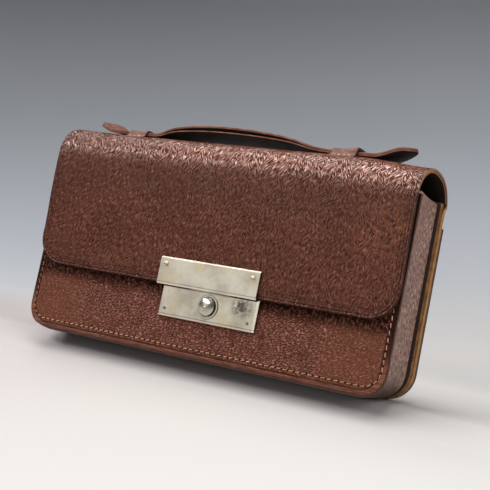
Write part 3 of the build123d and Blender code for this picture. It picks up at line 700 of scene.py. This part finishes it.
def make_hole_shade():
    """The awl's hole round each end of a stitch, in shadow."""
    shade = Finish("awl hole", Roughness=0.95, Specular_IOR_Level=0.1)
    tone = shade.add("TexNoise", shade.place(), 1 / 0.5, 2)
    shade.set(Base_Color=shade.add("ValToRGB", tone, stops=((0.3, "#120a08"), (0.7, "#241612"))))
    return shade


def make_metal(name, bright, dull, rough, blotch, depth, flank_painted_shade=0.0):
    """Clouded polished metal: dull patches, fine scratches, dark specks and painted shade on its flanks."""
    metal = Finish(name, Metallic=1.0)
    add = metal.add
    at = metal.place()
    clouds = add("TexNoise", at, 1 / blotch, 4, 0.62)
    specks = add("MapRange", add("TexNoise", at, 1 / 1.2, 3), 0.68, 0.76)
    scratch = add("TexNoise", add("Mapping", at, Scale=(0.12, 1, 1)), 1 / 0.7, 3, 0.6)
    colour = add("Mix", add("MapRange", clouds, 0.34, 0.72), bright, dull)
    # Faces turned sideways get painted shade, for the flanks
    facing = add("SeparateXYZ", add("NewGeometry", out="True Normal"), out="X")
    sideways_painted_shading = add("MapRange", add("ABSOLUTE", facing), 0.7, 0.95)
    colour = add("Mix", add("MULTIPLY", sideways_painted_shading, flank_painted_shade), colour, "#16130f")
    metal.set(Base_Color=add("Mix", add("MULTIPLY", specks, 0.55), colour, "#3b332a"))
    clouded = add("MapRange", clouds, 0.3, 0.75, rough, rough + 0.1)
    metal.set(Roughness=add("MULTIPLY_ADD", scratch, 0.08, clouded))
    metal.set(Normal=add("Bump", Distance=depth * MM, Height=add("ADD", scratch, clouds)))
    return metal


def make_nickel():
    """Nickel plate on brass, rubbed satin, with a warm cast where it thins."""
    metal = make_metal("satin nickel", "#d2cab8", "#a69d8c", rough=0.24, blotch=16, depth=0.003, flank_painted_shade=0.95)
    add, stripe = metal.add, metal.stripe
    at = metal.place()

    # Painted shade in rings round the button, where it sits in its hole, and a smudge of tarnish to the
    # right of it
    low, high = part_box("lock_button")
    hub = (low + high) / 2 / MM
    away = []
    for spot, flat in ((hub, (1, 0, 1)), (hub + Vector((20, 0, 3)), (0.75, 0, 1))):
        aside = add("VectorMath", at, tuple(spot), operation="SUBTRACT")
        aside = add("VectorMath", aside, flat, operation="MULTIPLY")
        away.append(add("VectorMath", aside, operation="LENGTH"))
    groove = add("MAXIMUM", stripe(away[0], 5, 0.6), add("MULTIPLY", stripe(away[0], 6.2, 0.5), 0.6))
    smudge = add("MapRange", add("TexNoise", at, 1 / 2.2, 5, 0.7), 0.34, 0.6)
    smudge = add("MULTIPLY", smudge, add("MapRange", away[1], 7.5, 1.5))
    smudge_and_painted_shade = add("MULTIPLY", add("MAXIMUM", groove, smudge), 0.85)

    # A painted highlight along each plate's polished bottom bevel, and a line of painted shade in the crease
    # over each
    up = add("SeparateXYZ", at, out="Z")
    bevel_painted_highlight = 0.0
    for plate in ("lock_plate", "hasp_plate"):
        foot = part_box(plate)[0].z / MM
        smudge_and_painted_shade = add("MAXIMUM", smudge_and_painted_shade, add("MULTIPLY", stripe(up, foot + 1.3, 0.45), 0.5))
        bevel_painted_highlight = add("MAXIMUM", bevel_painted_highlight, add("MULTIPLY", stripe(up, foot + 0.55, 0.6), 0.9))
    stain = add("MapRange", add("TexNoise", at, 1 / 11, 5, 0.65), 0.45, 0.7)
    colour = add("Mix", add("MULTIPLY", stain, 0.55), metal.painted(), "#c9b68c")
    colour = add("Mix", smudge_and_painted_shade, colour, "#2f2a23")
    metal.set(Base_Color=add("Mix", bevel_painted_highlight, colour, "#fbf6ea"))
    return metal


hatched, pebbled, calf = make_hatched(), make_pebbled(), make_calf()
cut_edge = make_cut_edge()
tan_edge = make_edge("tan edge", (0.32, "#351f0e"), (0.5, "#66401f"), (0.66, "#986b3a"))
# Edges dyed and rubbed with wax, for the front, pocket and keepers, and worn lighter for the rest
dark_edge = make_edge("waxed edge", (0.3, "#231612"), (0.5, "#38231c"), (0.75, "#553a2e"), roughness=0.5)
light_edge = make_edge("rubbed edge", (0.3, "#3c221a"), (0.5, "#623c2d"), (0.72, "#8d6551"))
flesh, skiver, twill = make_flesh(), make_skiver(), make_twill()
strap_top, thread, hole_shade = make_strap_top(), make_thread(), make_hole_shade()


def repaint(metal, *names):
    """Gives CAD pieces a finish of their own."""
    for name in names:
        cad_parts[name].data.materials[0] = metal.material


# The push button is kept bright by the thumb, the rivets have the nickel worn off their domes, and the rest
# is mild steel gone dark
rubbed_nickel = make_metal("rubbed nickel", "#c9c2b4", "#a89f8e", rough=0.14, blotch=5, depth=0.002)
brass = make_metal("worn brass", "#d3c6a6", "#94805a", rough=0.14, blotch=2, depth=0.002)
steel = make_metal("dark steel", "#6e6a66", "#4a4440", rough=0.4, blotch=3, depth=0.02)
repaint(make_nickel(), "lock_plate", "hasp_plate")
repaint(rubbed_nickel, "lock_button")
repaint(brass, "hasp_rivets")
repaint(steel, "lock_nails", "lock_case", "lock_backing", "hasp_tongue", "release_slide", "spring_catch")


# The hide: one skin for flap, crown and back cover
def over_bag(x, along, out):
    """The hide as it has settled: slack in front, from the brow down, and the crown sagging at its ends."""
    behind = smooth(along, crease_s, crease_s + 7)
    out = np.where(out < 0, out * (1 + cover_extra * behind), out)
    z = over(along)[1]
    slack = 2.0 * smooth(z, 46, 96) * (1 - smooth(along, brow_s, apex_s + 2))
    roll = 0.9 * smooth(along, apex_s + 3, apex_s + 17) * (1 - smooth(along, crease_s - 11, crease_s))
    drape = 0.22 * np.sin(x / 16 + 0.7) * np.sin(along / 19) + 0.15 * np.sin(x / 7.3 + along / 11)
    drape = drape * smooth(along, 2, 20) * (1 - smooth(along, apex_s - 14, apex_s))
    y, z = over(along, out + slack + roll + drape)
    sag = 0.7 * smooth(-x, 75, 110) - 2.2 * smooth(x, 72, 110)
    lifted = 0.9 * smooth(-x, 84, 110) * (1 - smooth(along, 0, 26))
    z = z + sag * smooth(z, 92, 112) * (1 - 0.6 * behind) + 0.6 * lifted
    return np.column_stack((x, y - 0.7 * lifted, z))


# Lines across the hide, closest where it bends most
hide_rows = [*np.arange(3, brow_s, 4), *np.arange(brow_s, crease_s - 6, 1.8)]
hide_rows += [*np.arange(crease_s - 6, crease_s + 8, 0.9)]
hide_rows = [s for s in hide_rows if abs(s - join_s) > 0.5] + [join_s]
back_rows = [*np.arange(crease_s + 12, over.length - 2, 8)]
hide_columns = np.arange(-105, 106, 5)
# Points just above and below the two folds, between which the hide bends, in metres
brow_above, brow_below = (0, -0.0162, 0.105), (0, -0.0162, 0.091)
crease_above, crease_below = (0, 0.0212, 0.104), (0, 0.0212, 0.092)

hide = cut_flat("hide", half_width, 0, over.length, bottom=hide_corner, top=body_corner)
crease(inset=1.3, wide=0.32, deep=0.2)
crease(inset=1.5, wide=0.25, deep=0.08)
punch(*hasp_opening)
build_up(hide, over_bag, (hatched, cut_edge, flesh), flap_leather, edge=0.35,
         across=hide_columns, along=hide_rows + back_rows)
back_cover = divide(hide, "back_cover_and_crown", Y, join_s)
hide.name = "flap_and_brow"
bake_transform(hide)
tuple(brow_above)
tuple(brow_below)
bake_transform(back_cover)
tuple(crease_below)
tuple(crease_above)
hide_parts("flap_front", "flap_crown")
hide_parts("back_cover", "flap_crown")


def under_hide(x, along, out):
    """The lining of the hide, a hair below it."""
    hair = 0.04
    return over_bag(x, along, out - flap_leather - hair)


# The lining is cut a little smaller than the flap all round
less = 0.3
lining_rows = [s for s in hide_rows if s < crease_s - 3]
flap_lining = cut_flat("flap_lining", half_width - less, less, crease_s - 1, bottom=hide_corner - less)
punch(*hasp_opening)
build_up(flap_lining, under_hide, (flesh, cut_edge, skiver), flap_lining_leather, edge=0.2,
         across=hide_columns, along=lining_rows)
crown_lining = divide(flap_lining, "crown_lining", Y, join_s)
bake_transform(flap_lining)
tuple(brow_above)
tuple(brow_below)
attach(crown_lining, "crown")
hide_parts("flap_front_lining", "flap_crown_lining")
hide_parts("flap_crown_lining")


# Body of the bag
def tucked(x, up, out, proud, trim):
    """A sheet of the front, with its bottom edge drawn in and trimmed back a little over the gusset."""
    drawn_in, reach = 1.3, 5.0
    low = np.clip(1 - up / reach, 0, 1) ** 2
    return on_front(proud)(x, up + trim * low, out - drawn_in * low)


def front_form(x, up, out):
    """The outside of the front panel."""
    return tucked(x, up, out, proud=0, trim=1.3)


def welt_form(x, up, out):
    """The welt, under the front panel and trimmed less."""
    return tucked(x, up, out, proud=-front_leather, trim=0.6)


rows = [0.7, 1.4, 2.2, 3.2, 4.5, 7, *np.arange(11, 96, 6)]
columns = np.arange(-104, 105, 8)

front = cut_flat("front", half_width, 0, front_height, bottom=body_corner)
crease(inset=0.9, wide=0.3, deep=0.1)
punch(*plate_opening)
build_up(front, front_form, (pebbled, dark_edge, flesh), front_leather, edge=0.35, across=columns, along=rows)
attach(front, "bag")
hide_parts("front_panel")

# The welt is a strip, so its middle is cut out, and its top is cut level with the front's
welt_width = 6
welt = cut_flat("welt", half_width - 0.2, 0, front_height + welt_width, bottom=body_corner)
bpy.ops.mesh.inset(thickness=welt_width)
bpy.ops.mesh.delete(type="FACE")
slice_at(Y, [front_height], clear_outer=True)
build_up(welt, welt_form, (calf, light_edge, flesh), welt_leather, edge=0.3, across=columns, along=rows)
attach(welt, "bag")
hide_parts("front_welt")


def front_wall(z):
    """Where the gusset meets the welt."""
    return front_y + front_layers / cos(front_lean) + z * tan(front_lean)


def back_wall(z):
    """Where the gusset meets the back."""
    return back_y - back_layers / cos(back_lean) + z * tan(back_lean)


def round_the_base(side, low, corner, top):
    """A line from the top of the right side, down, under the base and up the left."""
    right_corner = arc(side - corner, low + corner, corner, 0, -90)
    left_corner = arc(corner - side, low + corner, corner, -90, -180)
    return Line([(side, top), *right_corner, *left_corner, (-side, top)], ease=1)


# Across the gusset: turned in, round the front fold, over the wall, round the rear fold and in again
gusset_depth, fold_radius, turn_in = 24.0, 1.6, 6.0
ear_height = 100.2
outside = round_the_base(half_width - 1.5, 0, 13.25, ear_height)
front_fold = arc(fold_radius, -fold_radius, fold_radius, 180, 90, 12)
rear_fold = arc(gusset_depth - fold_radius, -fold_radius, fold_radius, 90, 0, 12)
fold = Line([(0, -turn_in), *front_fold, *rear_fold, (gusset_depth, -turn_in)], ease=0.5)


def round_gusset(t, along, out):
    """The gusset drawn over its walls, hollowed a little between them, its ears highest in front."""
    depth, proud = fold(t + fold.length / 2, out)
    share = depth / gusset_depth
    x, z = outside(along, proud)
    hollow = 0.7 * np.sin(pi * np.clip(share, 0, 1)) ** 2 * smooth(outside(along)[1], 8, 60)
    z = z + (0.4 - 3.0 * share) * smooth(outside(along)[1], 76, ear_height)
    y = front_wall(z) + share * (back_wall(z) - front_wall(z))
    return np.column_stack((x - np.sign(x) * hollow, y, z))


# The lines along the strip are close together where it turns over the two folds
gusset = cut_flat("side_strip", fold.length / 2, 0, outside.length)
fold_lines = np.arange(-12.9, -9.0, 0.5)
build_up(gusset, round_gusset, (calf, light_edge, flesh), gusset_leather, edge=0.35,
         across=[*fold_lines, *-fold_lines, *np.arange(-7, 8, 2)], along=np.arange(2.5, outside.length, 2.5))
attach(gusset, "bag")
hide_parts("gusset")

cloth = (twill, twill, twill)
lining_width, lining_gap = 22.0, 2.0
inside = round_the_base(half_width - 2.75, 1.25, 12.0, 97)


def in_gusset(t, along, out):
    """The lining of the gusset's wall, and of the base."""
    x, z = inside(along, out)
    share = 0.5 + t / lining_width
    depth = back_wall(z) - front_wall(z) - 2 * lining_gap
    return np.column_stack((x, front_wall(z) + lining_gap + share * depth, z))


gusset_lining = cut_flat("side_lining", lining_width / 2, 0, inside.length)
build_up(gusset_lining, in_gusset, cloth, lining_cloth, edge=0.2,
         across=[-5, 0, 5], along=np.arange(3, inside.length, 3))
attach(gusset_lining, "bag")
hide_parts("gusset_lining")


def add_sheet(name, stands_for, form, half, low, high, corner, thickness, finishes, opening=None, edge=0.2):
    """A plain sheet of the body: cut, thickened and laid on one wall."""
    sheet = cut_flat(name, half, low, high, bottom=corner)
    if opening:
        punch(*opening)
    build_up(sheet, form, finishes, thickness, edge,
             across=columns[::2], along=np.arange(low + 8, high - 2, 12))
    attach(sheet, "bag")
    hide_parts(stands_for)


def between(x, up, out):
    """The middle of the bag, between its two compartments."""
    middle = (front_wall(up) + back_wall(up)) / 2
    return np.column_stack((x, middle - partition_board / 2 - out, up))


in_front, in_back = on_front(-front_layers - gusset_leather), on_back(-back_layers - gusset_leather)
behind_cover = on_back(-pocket_leather - cover_leather)
lining_size = {"half": 107.3, "low": 1.2, "high": 97, "corner": 12, "thickness": lining_cloth}
add_sheet("front_inside", "front_lining", in_front, **lining_size, finishes=cloth, opening=case_opening)
add_sheet("back_inside", "back_lining", in_back, **lining_size, finishes=cloth)
partition_size = {"half": 106.6, "low": 1.9, "high": 85, "corner": 11, "thickness": partition_board}
add_sheet("partition", "divider", between, **partition_size, finishes=cloth)
back_size = {"half": half_width, "low": 0, "high": 98.6, "corner": body_corner, "thickness": back_leather}
raw_back = (flesh, tan_edge, flesh)
add_sheet("back_layer", "back_panel", behind_cover, **back_size, finishes=raw_back, edge=0.5)


def pocket_form(x, up, out):
    """The pocket on the back, its mouth a little slack."""
    slack = 0.5 * smooth(up, 30, 87) * (1 - smooth(np.abs(x), 60, 104))
    return on_back(0)(x, up, out + slack)


pocket = cut_flat("pocket", half_width, 0, 87, bottom=body_corner)
crease(inset=1.1, wide=0.3, deep=0.12)
build_up(pocket, pocket_form, (hatched, dark_edge, flesh), pocket_leather, edge=0.7,
         across=columns, along=rows[4:-2])
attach(pocket, "bag")
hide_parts("back_pocket")


# Stitching
def make_stitch(name, length, width):
    """One short bar of thread, its ends sunk into the awl's holes."""
    bar = start_piece(name, bpy.ops.mesh.primitive_cylinder_add,
                      vertices=8, radius=width / 2, depth=length, end_fill_type="TRIFAN")
    bpy.ops.transform.rotate(value=pi / 2, orient_axis="Y", center_override=(0, 0, 0))
    slice_at(X, (-0.32 * length, 0, 0.32 * length))
    for side in (-1, 1):
        pick("VERT", lambda at: at.x * side > 0.45 * length)
        bpy.ops.transform.resize(value=(1, 0.6, 0.6), center_override=(0, 0, 0))
        bpy.ops.transform.translate(value=(0, 0, -0.16))
    bpy.ops.mesh.select_all(action="SELECT")
    bpy.ops.mesh.normals_make_consistent()
    bpy.ops.object.mode_set(mode="OBJECT")
    bar.data.materials.append(thread.material)
    return bar


def make_hole(name, radius):
    """The mouth of an awl's hole, a low lens in painted shade."""
    mouth = start_piece(name, bpy.ops.mesh.primitive_circle_add, vertices=8, radius=radius, fill_type="NGON")
    bpy.ops.mesh.inset(thickness=radius * 0.5, depth=0.04)
    bpy.ops.mesh.select_all(action="SELECT")
    bpy.ops.transform.resize(value=(1.25, 1, 1))
    bpy.ops.object.mode_set(mode="OBJECT")
    mouth.data.materials.append(hole_shade.material)
    return mouth


def sew(name, pattern, places, form, lift):
    """Copies of a piece set along a seam, each at its place and slant, joined as one row."""
    row = []
    for x, y, slant in places:
        each = pattern.copy()
        each.data = pattern.data.copy()
        bpy.context.scene.collection.objects.link(each)
        points = np.array([v.co for v in each.data.vertices], float)
        u = x + points[:, 0] * cos(slant) - points[:, 1] * sin(slant)
        v = y + points[:, 0] * sin(slant) + points[:, 1] * cos(slant)
        place_points(each.data, form(u, v, points[:, 2] + lift))
        row.append(each)
    select_only(row[0])
    for each in row:
        each.select_set(True)
    bpy.ops.object.join()
    row[0].name = row[0].data.name = name
    bpy.ops.object.shade_smooth_by_angle(angle=radians(60))
    return row[0]


def seam_places(top):
    """Places of the stitches on a U-shaped seam, each leaning a little across it, and of their holes."""
    pitch, lean = 3.45, radians(9)
    line = round_the_base(half_width - 2.7, 5.7, 9, top)
    count = int(line.length / pitch)
    spots = (np.arange(count) + 0.5) * line.length / count
    heading = np.unwrap(np.arctan2(-line.out[:, 0], line.out[:, 1]))
    heading = np.interp(spots, line.along, heading)
    bars = [(x, y, h + lean) for x, y, h in zip(*line(spots), heading)]
    mouths = [(x, y, h) for x, y, h in zip(*line(spots + pitch / 2), heading)]
    return bars, mouths[:-1]


bar, mouth = make_stitch("stitch", length=2.3, width=0.58), make_hole("awl_hole", radius=0.5)
for side, top, form in (("front", 93, front_form), ("back", 81, pocket_form)):
    bars, mouths = seam_places(top)
    stitches = sew(side + "_seam", bar, bars, form, lift=0.06)
    holes = sew(side + "_awl_holes", mouth, mouths, form, lift=0.02)
    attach(stitches, "bag")
    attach(holes, "bag")
    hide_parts(side + "_stitches")

# Strap and its keepers. The crown's skin is read across the seat, as places v and heights h, and the tops of
# the keepers' feet lie just above it.
tops = np.array(over(np.arange(brow_s, crease_s, 0.5)))
seat_v = (tops[0] - seat_y) * cos(seat_tilt) - (tops[1] - seat_z) * sin(seat_tilt)
seat_h = (tops[0] - seat_y) * sin(seat_tilt) + (tops[1] - seat_z) * cos(seat_tilt)
foot_top = keeper_leather + 0.05


def on_seat(x, v, h):
    """From the strap's seat, along it, across it and up from it."""
    y = seat_y + v * cos(seat_tilt) + h * sin(seat_tilt)
    return np.column_stack((x, y, seat_z - v * sin(seat_tilt) + h * cos(seat_tilt)))


def crown_at(v):
    """Height of the crown's skin across the seat."""
    return np.interp(v, seat_v, seat_h)


def on_feet(x, v, out):
    """The top of the keepers' feet."""
    return on_seat(x, v, crown_at(v) + foot_top + out)


def make_keeper(name, low, high, tall, flare):
    """A loop of leather over the strap, its feet sewn down on the crown, more open at its right end."""
    foot = [(v, crown_at(v) + foot_top) for v in (-10.0, -8.5, -7.2)]
    loop = [(-6.6, 0.75), (-5.9, 0.5 * tall + 0.9), (-4.9, tall + 0.75), (-2.5, tall + 1.0)]
    far_loop = [(-v, h) for v, h in reversed(loop)]
    far_foot = [(v, crown_at(v) + foot_top) for v in (7.2, 8.5, 10.0)]
    profile = Line([*foot, *loop, (0, tall + 1.05), *far_loop, *far_foot], ease=0.7)
    half = profile.length / 2

    def form(x, across, out):
        v, h = profile(across + half, out)
        open_end = smooth(x, (high - low) * -0.1, (high - low) / 2)
        raised = np.clip((h - 0.6) / tall, 0, 1)
        return on_seat(x + (low + high) / 2, v, h + raised * flare * open_end)

    keeper = cut_flat(name + "_loop", (high - low) / 2, -half, half, bottom=1.2, top=1.2)
    crease(inset=0.8, wide=0.25, deep=0.1)
    build_up(keeper, form, (strap_top, dark_edge, flesh), keeper_leather, edge=0.3,
             across=[-3, 0, 3], along=np.arange(-int(half), int(half) + 0.1, 0.6))
    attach(keeper, "crown")
    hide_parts(name)


make_keeper("left_keeper", *left_keeper, tall=1.95, flare=0.5)
make_keeper("right_keeper", *right_keeper, tall=2.35, flare=1.2)

keeper_pitch, keeper_seam, keeper_slant = 2.8, 8.4, radians(8)
small_bar = make_stitch("keeper_stitch", length=2.0, width=0.75)
small_mouth = make_hole("keeper_hole", radius=0.36)
bars, mouths = [], []
for low, high in (left_keeper, right_keeper):
    count = int((high - low - 1.4) / keeper_pitch)
    for v in (-keeper_seam, keeper_seam):
        for i in range(count):
            x = (low + high) / 2 + (i - (count - 1) / 2) * keeper_pitch
            bars.append((x, v, keeper_slant))
            mouths.append((x + keeper_pitch / 2, v, 0))
keeper_bars = sew("keeper_thread", small_bar, bars, on_feet, lift=0.12)
keeper_holes = sew("keeper_awl_holes", small_mouth, mouths, on_feet, lift=0.03)
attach(keeper_bars, "crown")
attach(keeper_holes, "crown")
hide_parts("keeper_stitches")
for pattern in (bar, mouth, small_bar, small_mouth):
    bpy.data.objects.remove(pattern)

# The strap's ends are bent up round a centre above the seat, each by its own angle, and twisted
left_tip, right_tip = left_shoulder - left_length, right_shoulder + right_length
half_end = end_width / 2
end_radius = 30.0
end_centre = end_radius + 1.0
left_bend, right_bend = radians(16), radians(19)
left_twist, right_twist = radians(20), radians(-8)


def past_shoulder(x):
    """How far out a place on the strap is from its shoulder, below 0 between the two shoulders."""
    return np.where(x < 0, left_shoulder - x, x - right_shoulder)


def strap_half(x):
    """Half the strap's width: leaf-shaped ends, narrow necks in the keepers, and the wider grip."""
    share = past_shoulder(x) / np.where(x < 0, left_length, right_length)
    grip = neck_width / 2 + 2.7 * smooth(x, -58, -42.4) * (1 - smooth(x, 36.6, 53))
    leaf_share = [0, 0.03, 0.07, 0.2, 0.45, 0.6, 0.8, 1.0]
    leaf = np.interp(share, leaf_share, [4.8, 5.3, 6.3, 6.85, 6.9, 6.1, 4.4, 2.6])
    return np.where(share > 0, leaf, grip)


def bow(x):
    """The strap's rise between its keepers, from 0 at the feet to 1 at the top."""
    left, right = (x - left_foot) / (bow_x - left_foot), (right_foot - x) / (right_foot - bow_x)
    share = np.clip(np.where(x < bow_x, left, right), 0, 1)
    return np.where(share < 0.2, share ** 2 / 0.2, 1 - (1 - share) ** 2 / 0.8)


def strap_form(low, lift):
    """One ply of the strap: bowed between the keepers, its ends bent up and twisted."""
    def form(x, across, out):
        v = across / half_end * strap_half(x)
        h = low + lift * bow(x) + out - 0.16 * v * smooth(bow(x), 0.05, 0.6)
        past = np.maximum(past_shoulder(x), 0)
        turn = np.minimum(past / end_radius, np.where(x < 0, left_bend, right_bend))
        arm, straight = end_centre - h, past - end_radius * turn
        shoulder = np.where(x < 0, left_shoulder, right_shoulder)
        bent_x = shoulder + np.sign(x) * (arm * np.sin(turn) + straight * np.cos(turn))
        bent_h = end_centre - arm * np.cos(turn) + straight * np.sin(turn)
        bank = np.where(x < 0, left_twist, right_twist) * smooth(past, 0, 14)
        curl = 0.9 * (v / half_end) ** 2 * smooth(past, 4, 16)
        h = np.where(past > 0, bent_h, h) + v * np.sin(bank) + curl
        return on_seat(np.where(past > 0, bent_x, x), v * np.cos(bank), h)
    return form


# Points on the strap's seat at its necks, in metres
left_neck, right_neck = (-0.0585, 0.00065, 0.1149), (0.0525, 0.00065, 0.1149)


def make_ply(name, grip, finishes, low, lift, thickness, edge, creased=False):
    """A ply of the strap, divided at the top of its bow into two halves."""
    middle, half_long = (left_tip + right_tip) / 2, (right_tip - left_tip) / 2
    round_tip = 6.2
    ply = cut_flat(name + "_left", half_end, -half_long, half_long, bottom=round_tip, top=round_tip)
    if creased:
        crease(inset=0.9, wide=0.25, deep=0.12)
    bpy.ops.mesh.select_all(action="SELECT")
    bpy.ops.transform.rotate(value=pi / 2, orient_axis="Z", center_override=(0, 0, 0))
    bpy.ops.transform.translate(value=(middle, 0, 0))
    across = [x for x in np.arange(-97, 98, 2) if abs(x - bow_x) > 0.5] + [bow_x]
    build_up(ply, strap_form(low + thickness, lift), finishes, thickness, edge,
             across, along=[-5, -2.5, 0, 2.5, 5])
    other = divide(ply, name + "_right", X, bow_x)
    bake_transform(ply)
    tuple(left_neck)
    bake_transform(other)
    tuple(right_neck)
    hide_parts("strap_left_tab", grip)
    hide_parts("strap_right_tab", grip)


upper_ply = {"low": 0.86, "lift": 5.2, "thickness": 1.2, "edge": 0.3, "creased": True}
lower_ply = {"low": 0.1, "lift": 3.5, "thickness": 0.75, "edge": 0.25}
make_ply("strap_upper", "strap_grip", finishes=(strap_top, light_edge, flesh), **upper_ply)
make_ply("strap_lower", "strap_grip_lining", finishes=(flesh, light_edge, skiver), **lower_ply)


# Studio
def make_paper():
    """Graduated backdrop paper: a warm white foot sprayed over to blue grey towards the top. Painted shade
    makes it a little darker on the left and lighter on the right, and a painted shadow darkens the foot near
    the bag."""
    paper = Finish("backdrop paper", Roughness=0.95, Specular_IOR_Level=0.1)
    add = paper.add
    at = paper.place()
    height = add("VectorMath", at, tuple(lens_up), operation="DOT_PRODUCT")
    greys = ((0, "#dedad7"), (0.14, "#cccfd3"), (0.29, "#c2c5cc"), (0.57, "#aaaeb3"), (1, "#88898d"))
    wall = add("ValToRGB", add("MapRange", height, -100, 600, interpolation_type="LINEAR"), stops=greys)
    # Painted light and shade across the paper: darker on the left, lighter on the right
    sideways_painted_shading = add("VectorMath", at, tuple(lens_right), operation="DOT_PRODUCT")
    sideways_painted_shading = add("MapRange", sideways_painted_shading, -450, 450, 0.88, 1.12, interpolation_type="LINEAR")
    wall = add("VectorMath", wall, sideways_painted_shading, operation="SCALE")
    # The foot darkens towards the bag: a painted shadow
    whites = ((0, "#b1aeab"), (0.35, "#aba7a4"), (1, "#979190"))
    foot = add("MapRange", height, -36, 15, interpolation_type="LINEAR")
    foot = add("ValToRGB", foot, stops=whites)
    away = add("MapRange", add("VectorMath", at, operation="LENGTH"), 300, 1100)
    paper.set(Base_Color=add("Mix", away, foot, wall))
    return paper


# The paper is a round floor, in metres, with a wall curved up from it. The bag stands at the floor's brow, as
# the leaning one stands on its rear edge. The floor falls away in front of it, and more gently at both sides.
sweep = start_piece("sweep", bpy.ops.mesh.primitive_circle_add, vertices=96, radius=1.9, fill_type="NGON")
pick("EDGE", lambda at: True)
bpy.ops.mesh.extrude_edges_move(TRANSFORM_OT_translate={"value": (0, 0, 2.6)})
pick("EDGE", lambda at: at.z < 0.01)
bpy.ops.mesh.bevel(offset=1.0, segments=24)
slope_y = [-2.0, -0.6, -0.3, -0.15, -0.08, -0.04, -0.018, -0.006, 0.004, 0.014, 2.0]
slope_z = [-0.11, -0.095, -0.066, -0.042, -0.028, -0.0195, -0.013, -0.0065, -0.0012, 0, 0]
gentle_y = [-2.0, -0.6, -0.3, -0.15, -0.08, -0.04, -0.01, 0.02, 0.06, 0.1, 0.4]
gentle_z = [-0.11, -0.095, -0.066, -0.045, -0.034, -0.028, -0.0235, -0.0195, -0.0145, -0.0105, 0]
for start, end, step in ((-0.9, -0.1, 0.05), (-0.1, -0.03, 0.01), (-0.03, 0.03, 0.002), (0.04, 0.4, 0.02)):
    slice_at(Y, np.arange(start, end, step))
for start, end in ((-0.5, -0.1), (0.1, 0.51)):
    slice_at(X, np.arange(start, end, 0.025))
bpy.ops.object.mode_set(mode="OBJECT")
for point in sweep.data.vertices:
    steep = float(np.interp(point.co.y, slope_y, slope_z))
    gentle = float(np.interp(point.co.y, gentle_y, gentle_z))
    point.co.z += steep + (gentle - steep) * smooth(abs(point.co.x), 0.12, 0.5)
select_only(sweep)
bpy.ops.object.shade_smooth()
sweep.data.materials.append(make_paper().material)


def add_light(name, place, size, watts):
    """A soft box turned to the bag."""
    lamp = bpy.data.lights.new(name, "AREA")
    lamp.shape = "RECTANGLE"
    lamp.size, lamp.size_y = size
    lamp.energy = watts
    box = bpy.data.objects.new(name, lamp)
    bpy.context.scene.collection.objects.link(box)
    towards = Vector((0, 0, 0.06)) - Vector(place)
    box.matrix_world = Matrix.Translation(place) @ towards.to_track_quat("-Z", "Y").to_matrix().to_4x4()
    box.visible_camera = False


add_light("overhead", (-0.16, -0.20, 1.05), size=(1.5, 0.6), watts=20)
add_light("strip", (-0.62, -0.70, 0.66), size=(1.1, 0.13), watts=11)
add_light("front_left", (-0.75, -1.15, 0.42), size=(0.9, 0.7), watts=1.7)
add_light("right_side", (1.05, -0.45, 0.6), size=(0.7, 0.8), watts=6.5)

world = bpy.data.worlds.new("studio")
bpy.context.scene.world = world
world.use_nodes = True
plug(world.node_tree.nodes["Background"].inputs["Color"], "#f1eeea")
plug(world.node_tree.nodes["Background"].inputs["Strength"], 0.22)
bpy.context.scene.view_settings.view_transform = "Standard"
bpy.context.scene.view_settings.look = "None"
